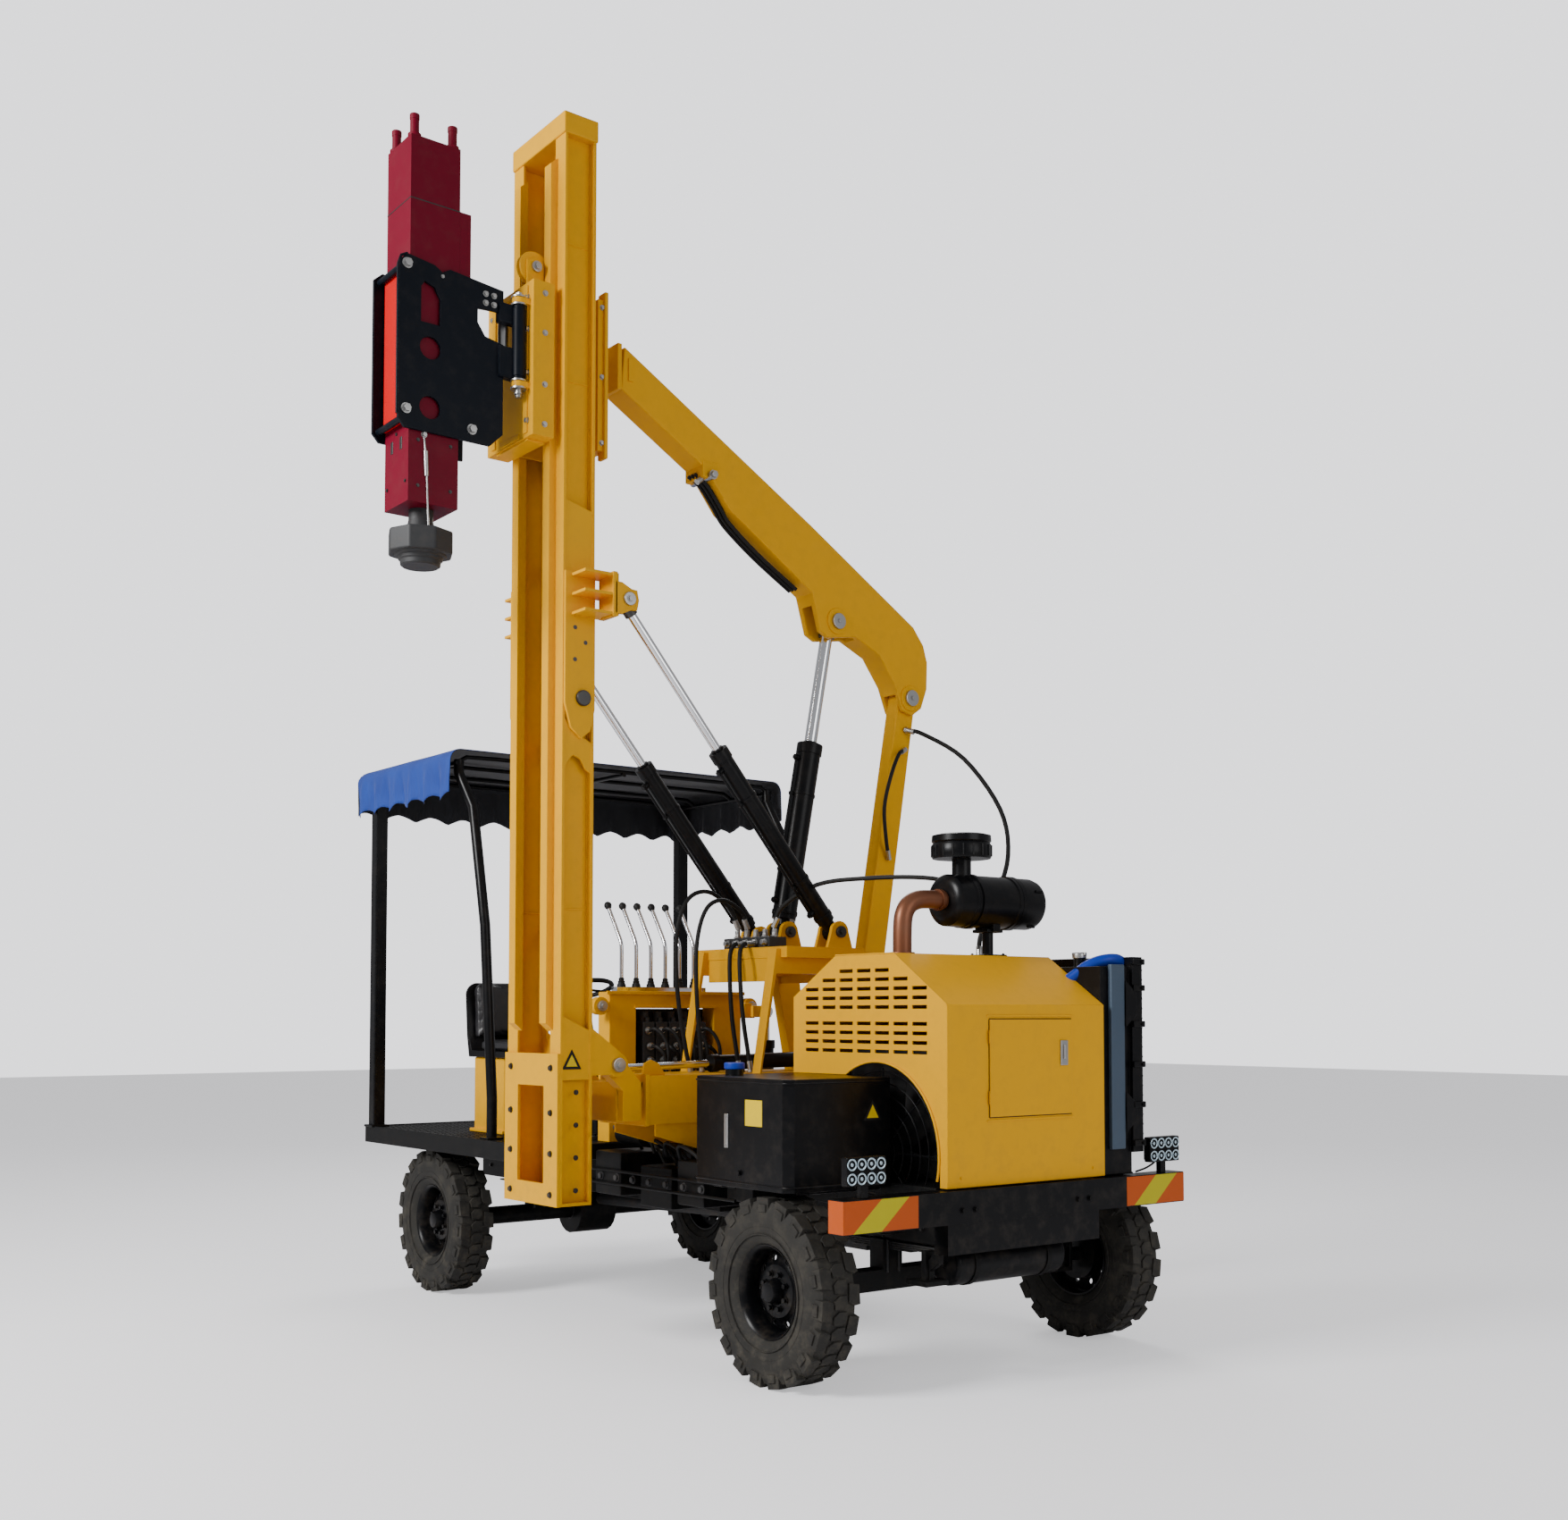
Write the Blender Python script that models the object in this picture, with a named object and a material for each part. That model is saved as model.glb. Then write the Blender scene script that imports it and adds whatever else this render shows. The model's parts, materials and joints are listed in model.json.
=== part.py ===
"""Pile driver rig on four rubber-tyred wheels, built as separate named subcomponents.

Metres. Built with X = 0 on the front axle, Y = 0 on the centreline and Z = 0 on the ground;
+X is the driving direction and -Y the mast side. Everything is then moved by SHIFT so that
the origin lies at the bottom centre of the overall box.
"""
import bpy
import bmesh
import math
from mathutils import Vector, Matrix

# ---------------------------------------------------------------- driving dimensions
GAP = 0.0003                 # clearance between pieces that rest on each other
WHEELBASE = 3.38
HALF_TRACK = 1.01
TYRE_R = 0.4275
RIM_R = 0.215
WHEEL_SEG = 32              # the same on tyre and rim, so that the two stay clear
KINGPIN_Y = 0.80
RAIL_Y, RAIL_Z0, RAIL_Z1 = 0.38, 0.62, 0.76
PLAT_Z = 0.8955              # top of the engine platform
WING_Z = 0.865               # underside of the platform over the left front wheel, which steers below it
DECK_Z0, DECK_Z1 = 0.875, 0.965
DECK_X0, DECK_X1, DECK_Y = -4.10, -1.98, 1.21
BUMP_X, BUMP_Y = 0.572, 1.12
LAMP_Y = 0.985
HOOD_X0, HOOD_X1, HOOD_Y0, HOOD_Y1 = -0.585, 0.542, -0.484, 0.567
HOOD_Z1, HOOD_Z2 = 1.729, 1.973
MX = -1.335                  # plane of the mast, boom and slide beams
MAST_HALF, FLANGE, MAST_Z0, MAST_Z1 = 0.265, 0.10, 0.76, 6.10
MAST_F, MAST_R = -1.55, -1.37      # front and rear faces of the mast beams
FOOT_Y, FOOT_Z = -1.22, 1.43       # mast tilt pivot
EYE_Y, EYE_Z = -1.26, 3.75         # tilt cylinder eye on the mast
BASE_Y, BASE_Z = 0.10, 2.13        # tilt cylinder base pivot
TILT_X = 0.355                     # tilt cylinders, each side of MX
BOOM_Y, BOOM_Z = 0.92, 3.55        # boom hinge
LUG_Y, LUG_Z = 0.36, 3.93          # lift cylinder eye in the boom
LIFT_Y, LIFT_Z = 0.02, 2.14        # lift cylinder base pivot
CAR_Z0, CAR_Z1 = 4.54, 5.32        # carriage
SWING_X, SWING_Y = MX + 0.17, -1.755
HAM_Y0, HAM_Y1, HAM_Z0, HAM_Z1 = -2.32, -2.06, 4.12, 5.90
HAM_AXIS_Y = (HAM_Y0 + HAM_Y1) / 2
SHANK_R = 0.060              # anvil shank, which slides in the hammer
ANVIL_Z = 3.845              # striking face of the driving cap
ROOF_X0, ROOF_X1, ROOF_Y, ROOF_Z1 = -4.25, -2.90, 1.25, 3.27
BBOX_X = (ROOF_X0, BUMP_X)
BBOX_Y = (-2.385, ROOF_Y)
SHIFT = Vector((-(BBOX_X[0] + BBOX_X[1]) / 2, -(BBOX_Y[0] + BBOX_Y[1]) / 2, 0.0))

for ob in list(bpy.data.objects):
    bpy.data.objects.remove(ob, do_unlink=True)

# ---------------------------------------------------------------- materials
COLOURS = {
    "yellow": (0.85, 0.46, 0.02), "black": (0.02, 0.02, 0.022), "tyre": (0.03, 0.03, 0.03),
    "crimson": (0.42, 0.02, 0.06), "navy": (0.015, 0.03, 0.055), "steel": (0.55, 0.56, 0.58),
    "chrome": (0.8, 0.8, 0.82), "grey": (0.25, 0.26, 0.27), "cloth": (0.03, 0.10, 0.35),
    "seat": (0.02, 0.02, 0.02), "copper": (0.35, 0.14, 0.06), "lamp": (0.75, 0.8, 0.82),
}
MATS = {}
for name, rgb in COLOURS.items():
    m = bpy.data.materials.new(name)
    m.use_nodes = True
    m.node_tree.nodes["Principled BSDF"].inputs["Base Color"].default_value = (*rgb, 1)
    MATS[name] = m


# ---------------------------------------------------------------- helpers
def node(name, mesh_bm, mat):
    """Turn a bmesh into a named object in the scene."""
    bmesh.ops.remove_doubles(mesh_bm, verts=mesh_bm.verts, dist=1e-6)
    bmesh.ops.recalc_face_normals(mesh_bm, faces=mesh_bm.faces)
    me = bpy.data.meshes.new(name)
    mesh_bm.to_mesh(me)
    mesh_bm.free()
    ob = bpy.data.objects.new(name, me)
    me.materials.append(MATS[mat])
    bpy.context.scene.collection.objects.link(ob)
    return ob


def box_bm(x0, x1, y0, y1, z0, z1):
    b = bmesh.new()
    bmesh.ops.create_cube(b, size=1.0)
    for v in b.verts:
        v.co = Vector((x0 if v.co.x < 0 else x1, y0 if v.co.y < 0 else y1, z0 if v.co.z < 0 else z1))
    return b


def prism_bm(points, axis, lo, hi):
    """Closed polygon pushed along an axis: x takes (y, z) points, y takes (x, z), z takes (x, y)."""
    def at(p, t):
        return {"x": (t, p[0], p[1]), "y": (p[0], t, p[1]), "z": (p[0], p[1], t)}[axis]
    b = bmesh.new()
    lower = [b.verts.new(at(p, lo)) for p in points]
    upper = [b.verts.new(at(p, hi)) for p in points]
    b.faces.new(lower)
    b.faces.new(upper)
    for i in range(len(points)):
        j = (i + 1) % len(points)
        b.faces.new((lower[i], lower[j], upper[j], upper[i]))
    return b


def rod_bm(p, q, r, seg=16, r2=None):
    """Round bar or cone between two points."""
    p, q = Vector(p), Vector(q)
    b = bmesh.new()
    bmesh.ops.create_cone(b, cap_ends=True, segments=seg, radius1=r, radius2=r if r2 is None else r2,
                          depth=(q - p).length)
    turn = Vector((0, 0, 1)).rotation_difference(q - p).to_matrix().to_4x4()
    bmesh.ops.transform(b, matrix=Matrix.Translation((p + q) / 2) @ turn, verts=b.verts)
    return b


def lathe_bm(profile, centre, seg):
    """Closed (y, r) ring profile turned about the Y axis through centre."""
    b = bmesh.new()
    rings = []
    for i in range(seg):
        a = 2 * math.pi * i / seg
        rings.append([b.verts.new((centre[0] + r * math.cos(a), centre[1] + y,
                                   centre[2] + r * math.sin(a))) for y, r in profile])
    n = len(profile)
    for i in range(seg):
        one, two = rings[i], rings[(i + 1) % seg]
        for k in range(n):
            m = (k + 1) % n
            b.faces.new((one[k], one[m], two[m], two[k]))
    return b


def tube_bm(points, r, seg=12):
    """Round tube swept through a list of points with mitred corners."""
    pts = [Vector(p) for p in points]
    b = bmesh.new()
    rings = []
    up = Vector((0, 0, 1))
    first = (pts[1] - pts[0]).normalized()
    side = first.cross(up if abs(first.z) < 0.9 else Vector((1, 0, 0))).normalized()
    for i, p in enumerate(pts):
        a = (p - pts[i - 1]).normalized() if i else first
        c = (pts[i + 1] - p).normalized() if i + 1 < len(pts) else a
        t = (a + c).normalized()
        side = (side - t * side.dot(t)).normalized()
        other = t.cross(side)
        wide = 1.0 / max(0.5, a.dot(t))
        bend = (c - a)
        bend = bend - t * bend.dot(t)
        ring = []
        for k in range(seg):
            ang = 2 * math.pi * k / seg
            d = side * math.cos(ang) + other * math.sin(ang)
            if bend.length > 1e-6:
                bn = bend.normalized()
                d = d + bn * d.dot(bn) * (wide - 1)
            ring.append(b.verts.new(p + d * r))
        rings.append(ring)
    b.faces.new(rings[0])
    b.faces.new(rings[-1])
    for one, two in zip(rings, rings[1:]):
        for k in range(seg):
            m = (k + 1) % seg
            b.faces.new((one[k], one[m], two[m], two[k]))
    return b


def combine(ob, bm_part, how):
    """Join or cut one more solid into an object, exactly."""
    tool = node("tool", bm_part, "grey")
    tool.hide_render = True
    tool.display_type = "WIRE"
    mod = ob.modifiers.new(how, "BOOLEAN")
    mod.operation = how
    mod.solver = "EXACT"
    mod.object = tool
    bpy.context.view_layer.update()
    new = bpy.data.meshes.new_from_object(ob.evaluated_get(bpy.context.evaluated_depsgraph_get()))
    ob.modifiers.clear()
    old, mat = ob.data, ob.data.materials[0]
    ob.data = new
    ob.data.name = ob.name
    new.materials.clear()
    new.materials.append(mat)
    bpy.data.meshes.remove(old)
    bpy.data.objects.remove(tool, do_unlink=True)
    return ob


def build(name, mat, first, add=(), cut=()):
    ob = node(name, first, mat)
    for part in add:
        combine(ob, part, "UNION")
    for part in cut:
        combine(ob, part, "DIFFERENCE")
    return ob


def circle(cx, cy, r, a0, a1, n):
    """Points on an arc, angles in degrees."""
    return [(cx + r * math.cos(math.radians(a0 + (a1 - a0) * i / n)),
             cy + r * math.sin(math.radians(a0 + (a1 - a0) * i / n))) for i in range(n + 1)]


SIDES = {"right": -1, "left": 1}

# ---------------------------------------------------------------- chassis
for side, s in SIDES.items():
    y0, y1 = sorted((s * (RAIL_Y - 0.04), s * (RAIL_Y + 0.04)))
    build("frame_rail_" + side, "black", box_bm(-4.02, 0.42, y0, y1, RAIL_Z0, RAIL_Z1))

build("platform", "black",
      box_bm(-1.95, 0.4697, -0.49, 0.86, RAIL_Z1 + GAP, PLAT_Z),
      add=[box_bm(MX - 0.26, MX + 0.26, -0.47, 0.34, PLAT_Z - 0.01, 1.12 - GAP)],
      cut=[box_bm(-0.55, 0.50, 0.60, 0.90, RAIL_Z1 - 0.05, WING_Z)])
build("front_bumper", "black",
      box_bm(0.47, BUMP_X, -BUMP_Y, BUMP_Y, 0.739, 0.888),
      add=[box_bm(0.43, 0.56, -0.50, 0.50, 0.60, 0.75)],
      cut=[box_bm(0.40, 0.4697, -0.60, 0.60, 0.50, 0.95)])
build("rear_deck", "black", box_bm(DECK_X0, DECK_X1, -DECK_Y, DECK_Y, DECK_Z0, DECK_Z1),
      add=[box_bm(-4.0, -2.02, -0.46, 0.46, RAIL_Z1 + GAP, DECK_Z0 + 0.01)])

# Front axle: flat beam with rail pads and an upright eye at each end.
ax_z = TYRE_R
profile = [(-0.78, ax_z - 0.05), (0.78, ax_z - 0.05), (0.78, ax_z + 0.05), (0.44, ax_z + 0.05),
           (0.44, RAIL_Z0 - GAP), (0.32, RAIL_Z0 - GAP), (0.32, ax_z + 0.05), (-0.32, ax_z + 0.05),
           (-0.32, RAIL_Z0 - GAP), (-0.44, RAIL_Z0 - GAP), (-0.44, ax_z + 0.05), (-0.78, ax_z + 0.05)]
build("front_axle", "black", prism_bm(profile, "x", -0.05, 0.05),
      add=[rod_bm((0, s * KINGPIN_Y, ax_z - 0.055), (0, s * KINGPIN_Y, ax_z + 0.055), 0.042, 20)
           for s in (-1, 1)])
build("rear_axle", "black",
      rod_bm((-WHEELBASE, -0.875, ax_z), (-WHEELBASE, 0.875, ax_z), 0.055, 18),
      add=[rod_bm((-WHEELBASE, -0.13, ax_z), (-WHEELBASE, 0.13, ax_z), 0.15, 20)]
      + [box_bm(-WHEELBASE - 0.05, -WHEELBASE + 0.05, s * RAIL_Y - 0.05, s * RAIL_Y + 0.05,
                ax_z, RAIL_Z0 - GAP) for s in (-1, 1)]
      + [rod_bm((-WHEELBASE, s * 0.87, ax_z), (-WHEELBASE, s * 1.03, ax_z), 0.0345, 18)
         for s in (-1, 1)])

# Steering knuckles: fork over the axle eye, with a spindle through the wheel.
for side, s in SIDES.items():
    k = s * KINGPIN_Y
    eye = 0.055 + GAP
    fork = [(k - s * 0.04, ax_z + eye), (k - s * 0.04, ax_z + eye + 0.022), (k + s * 0.075, ax_z + eye + 0.022),
            (k + s * 0.075, ax_z - eye - 0.022), (k - s * 0.04, ax_z - eye - 0.022), (k - s * 0.04, ax_z - eye),
            (k + s * 0.055, ax_z - eye), (k + s * 0.055, ax_z + eye)]
    build("knuckle_" + side, "black", prism_bm(fork, "x", -0.04, 0.04),
          add=[rod_bm((0, k + s * 0.06, ax_z), (0, s * 1.03, ax_z), 0.0345, 18)])

# Wheels: a tyre round a dished rim.
TYRE = [(-0.085, RIM_R), (-0.1075, 0.255), (-0.1175, 0.32), (-0.110, 0.385), (-0.085, 0.418), (-0.045, TYRE_R),
        (0.045, TYRE_R), (0.085, 0.418), (0.110, 0.385), (0.1175, 0.32), (0.1075, 0.255), (0.085, RIM_R)]
RIM = [(-0.085, RIM_R - GAP), (-0.085, 0.185), (-0.02, 0.175), (0.0, 0.10), (-0.05, 0.085), (-0.05, 0.0348),
       (0.055, 0.0348), (0.055, 0.085), (0.016, 0.10), (0.004, 0.19), (0.085, 0.20), (0.085, RIM_R - GAP)]
for end, wx in (("front", 0.0), ("rear", -WHEELBASE)):
    for side, s in SIDES.items():
        centre = (wx, s * HALF_TRACK, ax_z)
        build("tyre_%s_%s" % (end, side), "tyre", lathe_bm(TYRE, centre, WHEEL_SEG))
        build("rim_%s_%s" % (end, side), "black",
              lathe_bm([(y * s, r) for y, r in RIM], centre, WHEEL_SEG))

# Driveline under the platform.
build("transmission", "black", box_bm(-1.0, -0.35, -0.20, 0.20, 0.50, RAIL_Z1),
      add=[rod_bm((-WHEELBASE + 0.165, 0, 0.5), (-0.95, 0, 0.58), 0.035, 14)])
build("air_tank", "black", rod_bm((0.32, -0.30, 0.5185), (0.32, 0.42, 0.5185), 0.101, 22))

# ---------------------------------------------------------------- engine, hood, radiator
build("engine_block", "grey", box_bm(-0.42, 0.28, -0.25, 0.40, PLAT_Z + GAP, 1.52))

hood_z0 = PLAT_Z + GAP
outer = [(HOOD_X0, hood_z0), (HOOD_X1, hood_z0), (HOOD_X1, HOOD_Z1), (0.178, HOOD_Z2), (-0.25, HOOD_Z2),
         (HOOD_X0, 1.77)]
W = 0.010
inner = [(HOOD_X0 + W, hood_z0 - 0.1), (HOOD_X1 - W, hood_z0 - 0.1), (HOOD_X1 - W, HOOD_Z1 - 0.004),
         (0.174, HOOD_Z2 - W), (-0.246, HOOD_Z2 - W), (HOOD_X0 + W, 1.766)]
arch = [(HOOD_X0 - 0.05, 0.85), (0.49, 0.85)] + circle(0.06, 1.03, 0.43, 0, 123, 12) + [(HOOD_X0 - 0.05, 1.39)]
DOOR = (-0.22, 0.33, 1.21, 1.66)
build("hood", "yellow", prism_bm(outer, "y", HOOD_Y0, HOOD_Y1),
      cut=[prism_bm(inner, "y", HOOD_Y0 + W, HOOD_Y1 - W),
           prism_bm(arch, "y", HOOD_Y0 - 0.1, HOOD_Y0 + 0.05),
           box_bm(HOOD_X1 - 0.05, HOOD_X1 + 0.05, DOOR[0] + 0.02, DOOR[1] - 0.02,
                  DOOR[2] + 0.02, DOOR[3] - 0.02)])
build("hood_door", "yellow", box_bm(HOOD_X1 + GAP, HOOD_X1 + 0.0085, *DOOR))
build("radiator", "black", box_bm(-0.02, 0.52, HOOD_Y1 + GAP, 0.79, PLAT_Z + GAP, 1.92),
      add=[box_bm(-0.015, 0.54, 0.78, 0.855, 1.00, 1.97)])
build("air_cleaner", "black", rod_bm((0.0, 0.0, 2.25), (0.0, 0.62, 2.25), 0.135, 24),
      add=[rod_bm((0.0, 0.31, HOOD_Z2 + GAP), (0.0, 0.31, 2.16), 0.03, 12),
           rod_bm((0.0, 0.13, 2.34), (0.0, 0.13, 2.455), 0.05, 16),
           rod_bm((0.0, 0.13, 2.45), (0.0, 0.13, 2.585), 0.15, 24),
           tube_bm([(0, 0.05, 2.25), (0, -0.16, 2.25), (0, -0.235, 2.222), (0, -0.27, 2.16),
                    (0, -0.27, HOOD_Z2 + GAP)], 0.045, 14)])
build("oil_tank", "black",
      prism_bm([(-0.59, -1.06), (-0.55, -1.10), (0.12, -1.10), (0.16, -1.06), (0.16, -0.4903),
                (-0.59, -0.4903)], "z", 0.88, 1.39),
      add=[rod_bm((-0.45, -0.95, 1.38), (-0.45, -0.95, 1.43), 0.045, 16)])
for side, s in SIDES.items():
    build("lamp_" + side, "lamp", box_bm(0.51, 0.57, s * LAMP_Y - 0.11, s * LAMP_Y + 0.11, 0.945, 1.07),
          add=[box_bm(0.52, 0.55, s * LAMP_Y - 0.02, s * LAMP_Y + 0.02, 0.888 + GAP, 0.95)])

# ---------------------------------------------------------------- slide beams and cylinder frame
SLIDE_HALF = MAST_HALF - 0.05
LUG = [(-1.17, 1.145), (-1.17, 1.30)]
LUG += circle(FOOT_Y, FOOT_Z, 0.062, 215, 20, 8)
LUG += [(-1.06, 1.335), (-1.06, 1.145)]
foot_lugs = [prism_bm(LUG, "x", *sorted((MX + s * (MAST_HALF - 0.105), MX + s * (MAST_HALF - 0.0303))))
             for s in (-1, 1)]
build("slide_beam", "yellow", box_bm(MX - SLIDE_HALF, MX + SLIDE_HALF, -1.02, 0.36, 1.12, 1.37),
      add=[box_bm(MX - SLIDE_HALF + 0.025, MX + SLIDE_HALF - 0.025, -1.18, -0.90, 1.14, 1.34)] + foot_lugs)

# A-frame that carries the cylinder bases.
leg = [(-0.62, PLAT_Z + GAP), (-0.50, PLAT_Z + GAP), (-0.30, 1.90), (0.22, 1.90), (0.42, PLAT_Z + GAP),
       (0.54, PLAT_Z + GAP), (0.36, 2.03), (-0.30, 2.03)]
leg = [(max(y, -0.487) if z < 1.0 else y, z) for y, z in leg]
ears = []
for cx in (MX - TILT_X, MX + TILT_X):
    for o in (-1, 1):
        outline = [(BASE_Y - 0.10, 2.0), (BASE_Y + 0.10, 2.0)] + circle(BASE_Y, BASE_Z, 0.06, 0, 180, 8)
        ears.append(prism_bm(outline, "x", *sorted((cx + o * (0.04 + GAP), cx + o * 0.062))))
outline = [(LIFT_Y - 0.10, 2.0), (LIFT_Y + 0.10, 2.0)] + circle(LIFT_Y, LIFT_Z, 0.06, 0, 180, 8)
for o in (-1, 1):
    ears.append(prism_bm(outline, "x", *sorted((MX + o * (0.05 + GAP), MX + o * 0.075))))
legs = [prism_bm(leg, "x", *sorted((MX + s * (TILT_X - 0.055), MX + s * (TILT_X + 0.015)))) for s in (-1, 1)]
build("cylinder_frame", "yellow", box_bm(MX - TILT_X - 0.065, MX + TILT_X + 0.065, -0.27, 0.27, 1.985, 2.045),
      add=legs + ears)

# ---------------------------------------------------------------- boom column and boom
COL_DY = (0.92 - 0.475) / (3.55 - PLAT_Z)
cy = lambda z: 0.475 + COL_DY * (z - PLAT_Z)
column = [(cy(PLAT_Z) - 0.085, PLAT_Z + GAP), (cy(PLAT_Z) + 0.085, PLAT_Z + GAP),
          (BOOM_Y + 0.065, BOOM_Z - 0.02)] + circle(BOOM_Y, BOOM_Z, 0.065, 0, 180, 8)[1:]
build("boom_column", "yellow", prism_bm(column, "x", MX - 0.05, MX + 0.05))
BOOM = [(1.01, 3.50), (1.055, 3.62), (1.06, 3.78), (1.03, 3.88), (0.95, 3.98), (0.18, 4.45), (-1.08, 5.18),
        (-1.10, 4.95), (-0.55, 4.63), (-0.40, 4.44), (0.18, 4.07), (0.24, 3.86), (0.30, 3.83), (0.50, 3.86),
        (0.68, 3.78), (0.80, 3.62), (0.86, 3.47), (0.94, 3.45)]
slot = circle(BOOM_Y, BOOM_Z, 0.085, 25, 165, 8)
slot = [(1.10, 3.35)] + [(1.10, BOOM_Z + 0.03)] + slot + [(0.60, 3.42), (0.60, 3.35)]
build("boom", "yellow", prism_bm(BOOM, "x", MX - 0.08, MX + 0.08),
      cut=[prism_bm(slot, "x", MX - 0.05 - GAP, MX + 0.05 + GAP),
           box_bm(MX - 0.0403, MX + 0.0403, 0.20, 0.52, 3.70, 4.06)])


# ---------------------------------------------------------------- cylinders
def cylinder(tag, x, base, eye, gland, bar_r, rod_r, width, eye_r, rod_len):
    """Barrel turning on its base eye, and a rod whose eye meets the driven piece."""
    b, e = Vector((x, *base)), Vector((x, *eye))
    u = (e - b).normalized()
    g = b + u * gland
    end = e - u * rod_len
    build(tag + "_barrel", "black", rod_bm(b + u * 0.075, g, bar_r, 20),
          add=[rod_bm(b - Vector((width, 0, 0)), b + Vector((width, 0, 0)), eye_r, 18),
               rod_bm(b + u * 0.01, b + u * 0.09, width * 0.9, 14)],
          cut=[rod_bm(b + u * 0.12, g + u * 0.05, rod_r + GAP, 16)])
    build(tag + "_rod", "chrome", rod_bm(end, e - u * 0.02, rod_r, 16),
          add=[rod_bm(e - Vector((width, 0, 0)), e + Vector((width, 0, 0)), eye_r, 18)])


for side, s in (("far", -1), ("near", 1)):
    cylinder("tilt_" + side, MX + s * TILT_X, (BASE_Y, BASE_Z), (EYE_Y, EYE_Z), 1.20, 0.048, 0.024,
             0.04, 0.045, 1.28)
cylinder("lift", MX, (LIFT_Y, LIFT_Z), (LUG_Y, LUG_Z), 1.09, 0.068, 0.036, 0.04, 0.052, 1.05)

# ---------------------------------------------------------------- mast
for side, s in (("far", -1), ("near", 1)):
    o, i = MX + s * MAST_HALF, MX + s * (MAST_HALF - FLANGE)
    w0, w1 = MX + s * (MAST_HALF - 0.043), MX + s * (MAST_HALF - 0.057)
    web = [(o, MAST_F), (o, MAST_F + 0.014), (w0, MAST_F + 0.014), (w0, MAST_R - 0.014), (o, MAST_R - 0.014),
           (o, MAST_R), (i, MAST_R), (i, MAST_R - 0.014), (w1, MAST_R - 0.014), (w1, MAST_F + 0.014),
           (i, MAST_F + 0.014), (i, MAST_F)]
    r0, r1 = sorted((MX + s * (MAST_HALF - 0.14), MX + s * (MAST_HALF - 0.075)))
    guides = []
    for front in (True, False):
        out = MAST_F - 0.04 if front else MAST_R + 0.04
        root = MAST_F + 0.006 if front else MAST_R - 0.006
        guides.append(prism_bm([(root, 1.60), (out, 1.64), (out, 5.96), (root, 6.0)], "x", r0, r1))
    # Side plate and shelved bracket for the tilt cylinder.
    a = MX + s * (MAST_HALF - 0.02)
    plate = [(MAST_F + 0.005, 3.88), (MAST_R - 0.005, 3.88), (MAST_R - 0.005, 3.20), (MAST_R - 0.03, 3.09),
             (MAST_R - 0.08, 3.05), (MAST_F + 0.04, 3.10), (MAST_F + 0.005, 3.22)]
    cx = MX + s * TILT_X
    bracket = [prism_bm(plate, "x", *sorted((a, a + s * 0.036)))]
    bracket += [box_bm(*sorted((a + s * 0.02, cx + s * 0.055)), -1.51, -1.335, z, z + 0.014)
                for z in (3.660, 3.757, 3.855)]
    bracket += [box_bm(*sorted((a + s * 0.022, cx + s * 0.052)), -1.345, -1.315, 3.658, 3.872)]
    bracket += [prism_bm([(-1.33, 3.69), (-1.21, 3.70), (-1.20, 3.75), (-1.21, 3.80), (-1.33, 3.81)], "x",
                         *sorted((cx + k * (0.04 + GAP), cx + k * 0.058))) for k in (-1, 1)]
    # Foot ear that turns on the slide beam lug.
    ear = [(MAST_R - 0.006, 1.62), (MAST_R - 0.006, 1.38)] + circle(FOOT_Y, FOOT_Z, 0.062, 230, 400, 8)
    foot_ear = prism_bm(ear, "x", *sorted((MX + s * (MAST_HALF - 0.03), MX + s * (MAST_HALF - 0.002))))
    build("mast_beam_" + side, "yellow", prism_bm(web, "z", MAST_Z0, MAST_Z1),
          add=guides + bracket + [foot_ear])
build("mast_front_frame", "yellow",
      box_bm(MX - MAST_HALF, MX + MAST_HALF, MAST_F - 0.016, MAST_F - GAP, MAST_Z0 - 0.016, 1.49),
      add=[box_bm(MX - MAST_HALF + 0.001, MX + MAST_HALF - 0.001, MAST_F - 0.01, MAST_R,
                  MAST_Z0 - 0.015, MAST_Z0 - GAP)],
      cut=[box_bm(MX - MAST_HALF + 0.135, MX + MAST_HALF - 0.135, MAST_F - 0.1, MAST_F + 0.1, 0.85, 1.33)])
build("mast_cap", "yellow",
      prism_bm([(MAST_F - 0.01, MAST_Z1 + GAP), (MAST_R + 0.01, MAST_Z1 + GAP), (MAST_R + 0.01, MAST_Z1 + 0.11),
                (MAST_F - 0.01, MAST_Z1 + 0.11)], "x", MX - MAST_HALF - 0.005, MX + MAST_HALF + 0.005))

# ---------------------------------------------------------------- carriage, sheave and cradle
SHOE = MAST_HALF - 0.1465    # outer face of the carriage side plates, clear of the guide rails
half = [(MAST_HALF - 0.03, -1.71), (MAST_HALF - 0.03, MAST_F - 0.04 - GAP), (SHOE, MAST_F - 0.04 - GAP),
        (SHOE, MAST_R + 0.04 + GAP), (MAST_HALF - 0.045, MAST_R + 0.04 + GAP), (MAST_HALF - 0.045, -1.28),
        (SHOE - 0.0135, -1.28), (SHOE - 0.0135, -1.665)]
ring = [(MX + x, y) for x, y in half] + [(MX - x, y) for x, y in reversed(half)]
HINGES = (4.79, 5.21)
SHEAVE = (MX + 0.10, -1.64, 5.43)
build("carriage", "yellow", prism_bm(ring, "z", CAR_Z0, CAR_Z1),
      add=[prism_bm([(SWING_X - 0.035, -1.70), (SWING_X - 0.035, SWING_Y)]
                    + circle(SWING_X, SWING_Y, 0.035, 180, 360, 8) + [(SWING_X + 0.035, -1.70)],
                    "z", z - 0.0147, z + 0.0147) for z in HINGES]
      + [box_bm(*sorted((SHEAVE[0] + k * 0.0205, SHEAVE[0] + k * 0.034)), -1.69, -1.60, 5.30, 5.46)
         for k in (-1, 1)])
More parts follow.
